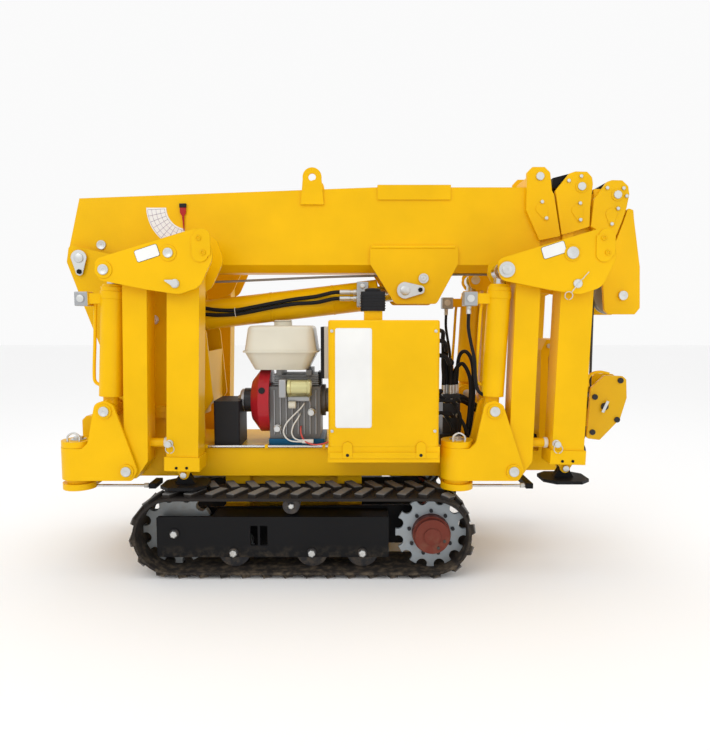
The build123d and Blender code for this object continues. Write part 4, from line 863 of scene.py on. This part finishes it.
# Luffing ram. A welded yellow barrel with a bright rod, a collar at its front end and clamped
# straps. Two rubber hoses lie along its near side from a cast valve block that is bolted on.
dress(clean_paint, "luff_barrel")
dress(steel, "luff_rod")
LUFF_HEAD = (0.187, 1.007)
ram = np.array([LUFF_HEAD[0] - LUFF_FOOT[0], LUFF_HEAD[1] - LUFF_FOOT[1]])
ram /= np.linalg.norm(ram)
across_ram = np.array([-ram[1], ram[0]])


def on_ram(s, lift, y):
    """The point s metres along the ram from its foot, lift above its axis, at y."""
    x, z = np.array(LUFF_FOOT) + ram * s + across_ram * lift
    return (x, y, z)


ram_axis = (ram[0], 0, ram[1])
turned(
    "luff_collar", [(on_ram(0.766, 0, 0), ram_axis)],
    [(0.0572, 0), (0.0590, 0.001), (0.0590, 0.072), (0.050, 0.076), (0.036, 0.077), (0.036, 0.016)],
    clean_paint, "luff_barrel", sides=40,
)
turned(
    "luff_straps", [(on_ram(s, 0, 0), ram_axis) for s in (0.16, 0.42, 0.66)],
    [(0.0572, 0), (0.0582, 0.001), (0.0582, 0.009), (0.0572, 0.010)],
    clean_paint, "luff_barrel", sides=40,
)
bricks(
    "luff_valve", [(0.0065, 0.0500, -0.102, -0.0595, 0.946, 1.040)],
    cast_metal, "luff_barrel", round_edge=0.003,
)
LUFF_PORTS = (0.978, 1.002)
zinced(
    "luff_valve_caps", [((0.028, -0.1022, z), (0, -1, 0)) for z in (0.962, 1.024)],
    [(0.010, 0), (0.010, 0.006), (0.007, 0.008)], "luff_barrel", sides=6,
)
zinced(
    "luff_valve_ports", [((0.0063, -0.084, z), (-1, 0, 0)) for z in LUFF_PORTS],
    [(0.010, 0), (0.010, 0.012), (0.0075, 0.013), (0.0075, 0.024), (0.0092, 0.025), (0.0092, 0.064)],
    "luff_barrel", sides=16,
)
HOSE_R = 0.0650
LIFTS = [
    (0.600, -0.0040, 0.0185), (0.520, 0.0000, 0.0175), (0.440, -0.0030, 0.0125), (0.360, -0.0090, 0.0065),
    (0.290, -0.0130, 0.0025), (0.220, -0.0080, 0.0120), (0.160, 0.0030, 0.0280), (0.110, 0.0110, 0.0370),
]
for k, port in enumerate(LUFF_PORTS):
    path = [(-0.0577, -0.084, port), (-0.085, -0.083, port - 0.002)]
    for reach, *lifts in LIFTS:
        path.append(on_ram(reach, lifts[k], -math.sqrt(HOSE_R**2 - lifts[k] ** 2)))
    hose(f"luff_hose_{k}", path, 0.0074, "luff_barrel")
tie = [
    on_ram(0.290, -0.0053 + 0.0170 * math.sin(t), -0.0645 - 0.0092 * math.cos(t))
    for t in np.linspace(0, 2 * math.pi, 24)
]
tube("luff_hose_tie", [tie], 0.0013, wire_white, "luff_barrel", sides=6)

# Boom. Four smooth box sections of folded steel slide in one another, with pinned and bolted
# collars. The lugs hold the ram's pin, and an angle scale with a red pendulum hangs at the rear.
red_plastic = surface("red_plastic", (0.42, 0.015, 0.012), 0.32, coat=0.3, reach=0.3, bump=0.05)
dress(clean_paint, "boom_base", "section_second", "section_third", "section_tip")
SCALE = (-0.622, 1.312)
FACE, LUG_FACE = -0.0972, 0.1162
SCALE_IN, SCALE_OUT, TICK_IN, TICK_OUT = 0.078, 0.152, 0.084, 0.147


def arc(radius, first, last, count):
    """Points of an arc about the scale's centre, angles in degrees."""
    return [
        (SCALE[0] + radius * math.cos(t), SCALE[1] + radius * math.sin(t))
        for t in np.radians(np.linspace(first, last, count))
    ]


sheets(
    "angle_scale", [arc(SCALE_IN, 180, 262, 20) + arc(SCALE_OUT, 262, 180, 28)], (FACE - 0.0008, FACE),
    white_sheet, "boom",
)
TICK_HALF = 0.0006
ticks = []
for degree in np.arange(183, 262, 9):
    t = math.radians(degree)
    dx, dz = -math.sin(t) * TICK_HALF, math.cos(t) * TICK_HALF
    (x0, z0), (x1, z1) = [
        (SCALE[0] + r * math.cos(t), SCALE[1] + r * math.sin(t)) for r in (TICK_IN, TICK_OUT)
    ]
    ticks.append([(x0 - dx, z0 - dz), (x1 - dx, z1 - dz), (x1 + dx, z1 + dz), (x0 + dx, z0 + dz)])
for radius in (TICK_IN, 0.100, 0.116, 0.132, TICK_OUT):
    ticks.append(arc(radius, 183, 260, 20) + arc(radius + 0.0009, 260, 183, 20))
tick_ink = surface("tick_ink", (0.36, 0.28, 0.42), 0.5, reach=0.2, bump=0.02)
sheets("scale_ticks", ticks, (FACE - 0.0012, FACE - 0.0009), tick_ink, "boom")
pointer = [
    (-0.6484, 1.3120), (-0.6254, 1.3120), (-0.6262, 1.292), (-0.633, 1.281), (-0.6335, 1.228),
    (-0.6360, 1.228), (-0.6405, 1.281), (-0.6476, 1.292),
]
sheets("red_pointer", [pointer], (FACE - 0.007, FACE - 0.002), red_plastic, "boom")
bricks(
    "pointer_clip", [(-0.6494, -0.6244, FACE - 0.009, FACE, 1.3112, 1.3262)],
    black_plastic, "boom", round_edge=0.001,
)
for side_name, side in SIDES:
    tube(
        f"lug_weld_{side_name}", [[(0.060, side * 0.1052, 1.1665), (0.372, side * 0.1052, 1.1665)]],
        0.0068, clean_paint, "boom", sides=12,
    )
zinced("rear_pin_heads", both(-FACE, (-0.945, 1.1755)), PIN_HEAD, "boom")
COLLAR_FACE, DOUBLER_FACES = 0.1122, (0.1121, 0.1136)
KEEPER_SCREW = (LUFF_HEAD[0] + 0.056, LUFF_HEAD[1] + 0.002)
keeper = teardrop(LUFF_HEAD, 0.031, KEEPER_SCREW, 0.016)
COLLARS = [
    ("base", "boom", (0.679, 1.422), ((0.688, 1.330), (0.705, 1.271)), (0.688, 1.306)),
    (
        "second", "section_second", (0.833, 1.386),
        ((0.784, 1.406), (0.829, 1.422), (0.828, 1.325), (0.831, 1.265)), (0.820, 1.300),
    ),
    (
        "third", "section_third", (0.966, 1.356),
        ((0.926, 1.380), (0.986, 1.379), (0.998, 1.351), (0.968, 1.306), (0.947, 1.250)), (0.946, 1.286),
    ),
]
zinced("luff_pin_heads", both(LUG_FACE, LUFF_HEAD), [(0.018, 0), (0.018, 0.006), (0.015, 0.008)], "boom")
for side_name, side in SIDES:
    sheets(
        f"luff_keeper_{side_name}", [keeper], (side * LUG_FACE, side * 0.1190), zinc, "boom",
    )
    turned(
        f"luff_keeper_screw_{side_name}", outward(side, 0.1192, KEEPER_SCREW),
        [(0.009, 0), (0.009, 0.004), (0.006, 0.005)], black_paint, "boom", sides=6,
    )
    zinced(
        f"lug_pin_{side_name}", outward(side, 0.1142, (0.255, 1.051)),
        [
            (0.0185, 0), (0.0185, 0.003), (0.0135, 0.0032), (0.012, 0.0018), (0.010, 0.0034),
            (0.003, 0.0034), (0.002, 0.002),
        ],
        "boom",
    )
    for label, body, pin, bolts, top in COLLARS:
        zinced(f"collar_pins_{label}_{side_name}", outward(side, COLLAR_FACE, pin), SMALL_HEAD, body)
        zinced(
            f"collar_bolts_{label}_{side_name}", outward(side, 0.1138, *bolts),
            [(0.007, 0), (0.007, 0.005), (0.005, 0.006)], body, sides=6,
        )
    for label, body, pin, bolts, top in COLLARS[1:]:
        turned(
            f"collar_boss_{label}_{side_name}", outward(side, COLLAR_FACE, pin),
            [(0.023, 0), (0.023, 0.0016)], clean_paint, body,
        )
    for label, body, pin, bolts, top in COLLARS:
        doubler = teardrop(top, 0.022, bolts[-1], 0.010)
        sheets(
            f"doubler_{label}_{side_name}", [doubler], [side * y for y in DOUBLER_FACES],
            clean_paint, body,
        )
    zinced(f"head_pin_{side_name}", outward(side, 0.1182, (0.997, 0.988)), PIN_HEAD, "section_tip")
sheets(
    "guard_second", [[(0.7345, 1.3868), (0.7345, 1.4225), (0.797, 1.4385), (0.806, 1.3868)]],
    (-0.085, 0.085), black_paint, "section_second",
)
sheets(
    "guard_third", [[(0.8835, 1.3640), (0.8835, 1.3750), (0.9337, 1.4065), (0.945, 1.3640)]],
    (-0.085, 0.085), black_paint, "section_third",
)
under = ((-0.852, 1.052), (-0.588, 1.043), (-0.059, 1.064), (0.392, 1.072), (0.600, 1.070))
tube(
    "boom_rope", [smooth_line([(x, -0.02, z) for x, z in under], 12)],
    0.0045, rope_grey, "boom",
)
bricks(
    "rope_guides", [(x, x + 0.030, -0.042, 0.002, 1.058, 1.0757) for x in (-0.868, 0.585)],
    clean_paint, "boom",
)

# Head and hook. A turned steel sheave on a pin, and a block of painted cheek plates over its sheave
# and forged hook, with a slanted key on its centre pin and a bent rope guard on top.
dress(wheel_metal, "head_sheave")
block_paint = surface(
    "block_paint", YELLOW, 0.36, coat=0.2, reach=0.2, bump=0.1,
    regions=[
        (lambda tree: band(tree, along(tree, "Y"), -1.0, 0.0392), (0.05, 0.05, 0.055)),
        (lambda tree: band(tree, along(tree, "Y"), 0.0525, 0.2), (0.03, 0.03, 0.033)),
    ],
)
dress(block_paint, "hook_block")
lean = math.radians(66)
corners = ((-0.024, -0.0055), (0.024, -0.0055), (0.024, 0.0055), (-0.024, 0.0055))
key = [
    (0.968 + a * math.cos(lean) - b * math.sin(lean), 0.563 + a * math.sin(lean) + b * math.cos(lean))
    for a, b in corners
]
for side_name, side in SIDES:
    sheets(
        f"block_key_{side_name}", [key], (side * 0.0602, side * 0.0642), zinc, "hook_block",
    )
guard = ((0.905, 0.640), (0.903, 0.668), (0.918, 0.690), (0.950, 0.697), (0.985, 0.690))
tube(
    "rope_guard", [smooth_line([(x, -0.046, z) for x, z in guard], 8)],
    0.0055, paint, "hook_block",
)

# Studio. A pale floor, soft area lights from both sides and above, and the camera at the
# photograph's place: 2.46 m away, 0.896 m high, looking five degrees down.
scene = bpy.context.scene
scene.view_settings.view_transform = "Standard"
floor_material = bpy.data.materials.new("pale_floor")
floor_material.use_nodes = True
floor_shader = floor_material.node_tree.nodes["Principled BSDF"]
floor_shader.inputs["Base Color"].default_value = (0.95, 0.95, 0.95, 1)
floor_shader.inputs["Roughness"].default_value = 0.9
bpy.ops.mesh.primitive_plane_add(size=40, location=(0, 0, -0.0005))
floor = bpy.context.object
floor.name = "floor"
floor.data.materials.append(floor_material)
world = bpy.data.worlds.new("studio")
scene.world = world
world.use_nodes = True
sky = world.node_tree.nodes["Background"].inputs
sky["Color"].default_value = (1, 1, 1, 1)
sky["Strength"].default_value = 0.96
LIGHTS = [
    ("key", (-2.2, -3.2, 3.2), 2.4, 27.0), ("fill", (2.8, -3.0, 1.8), 2.6, 9.0),
    ("top", (0.2, 0.6, 4.2), 3.0, 26.0),
]
for name, place, size, power in LIGHTS:
    lamp = bpy.data.lights.new(name, "AREA")
    lamp.shape = "DISK"
    lamp.size = size
    lamp.energy = power
    held = bpy.data.objects.new(name, lamp)
    held.location = place
    aim = np.array((0, 0, 0.7)) - np.array(place)
    aim /= np.linalg.norm(aim)
    held.rotation_euler = (math.acos(-aim[2]), 0, math.atan2(-aim[0], aim[1]))
    scene.collection.objects.link(held)
lens = bpy.data.cameras.new("camera")
lens.lens = 30.0
lens.sensor_width = 36.0
camera = bpy.data.objects.new("camera", lens)
camera.location = (0, -2.46, 0.896)
camera.rotation_euler = (math.radians(85), 0, 0)
scene.collection.objects.link(camera)
scene.camera = camera
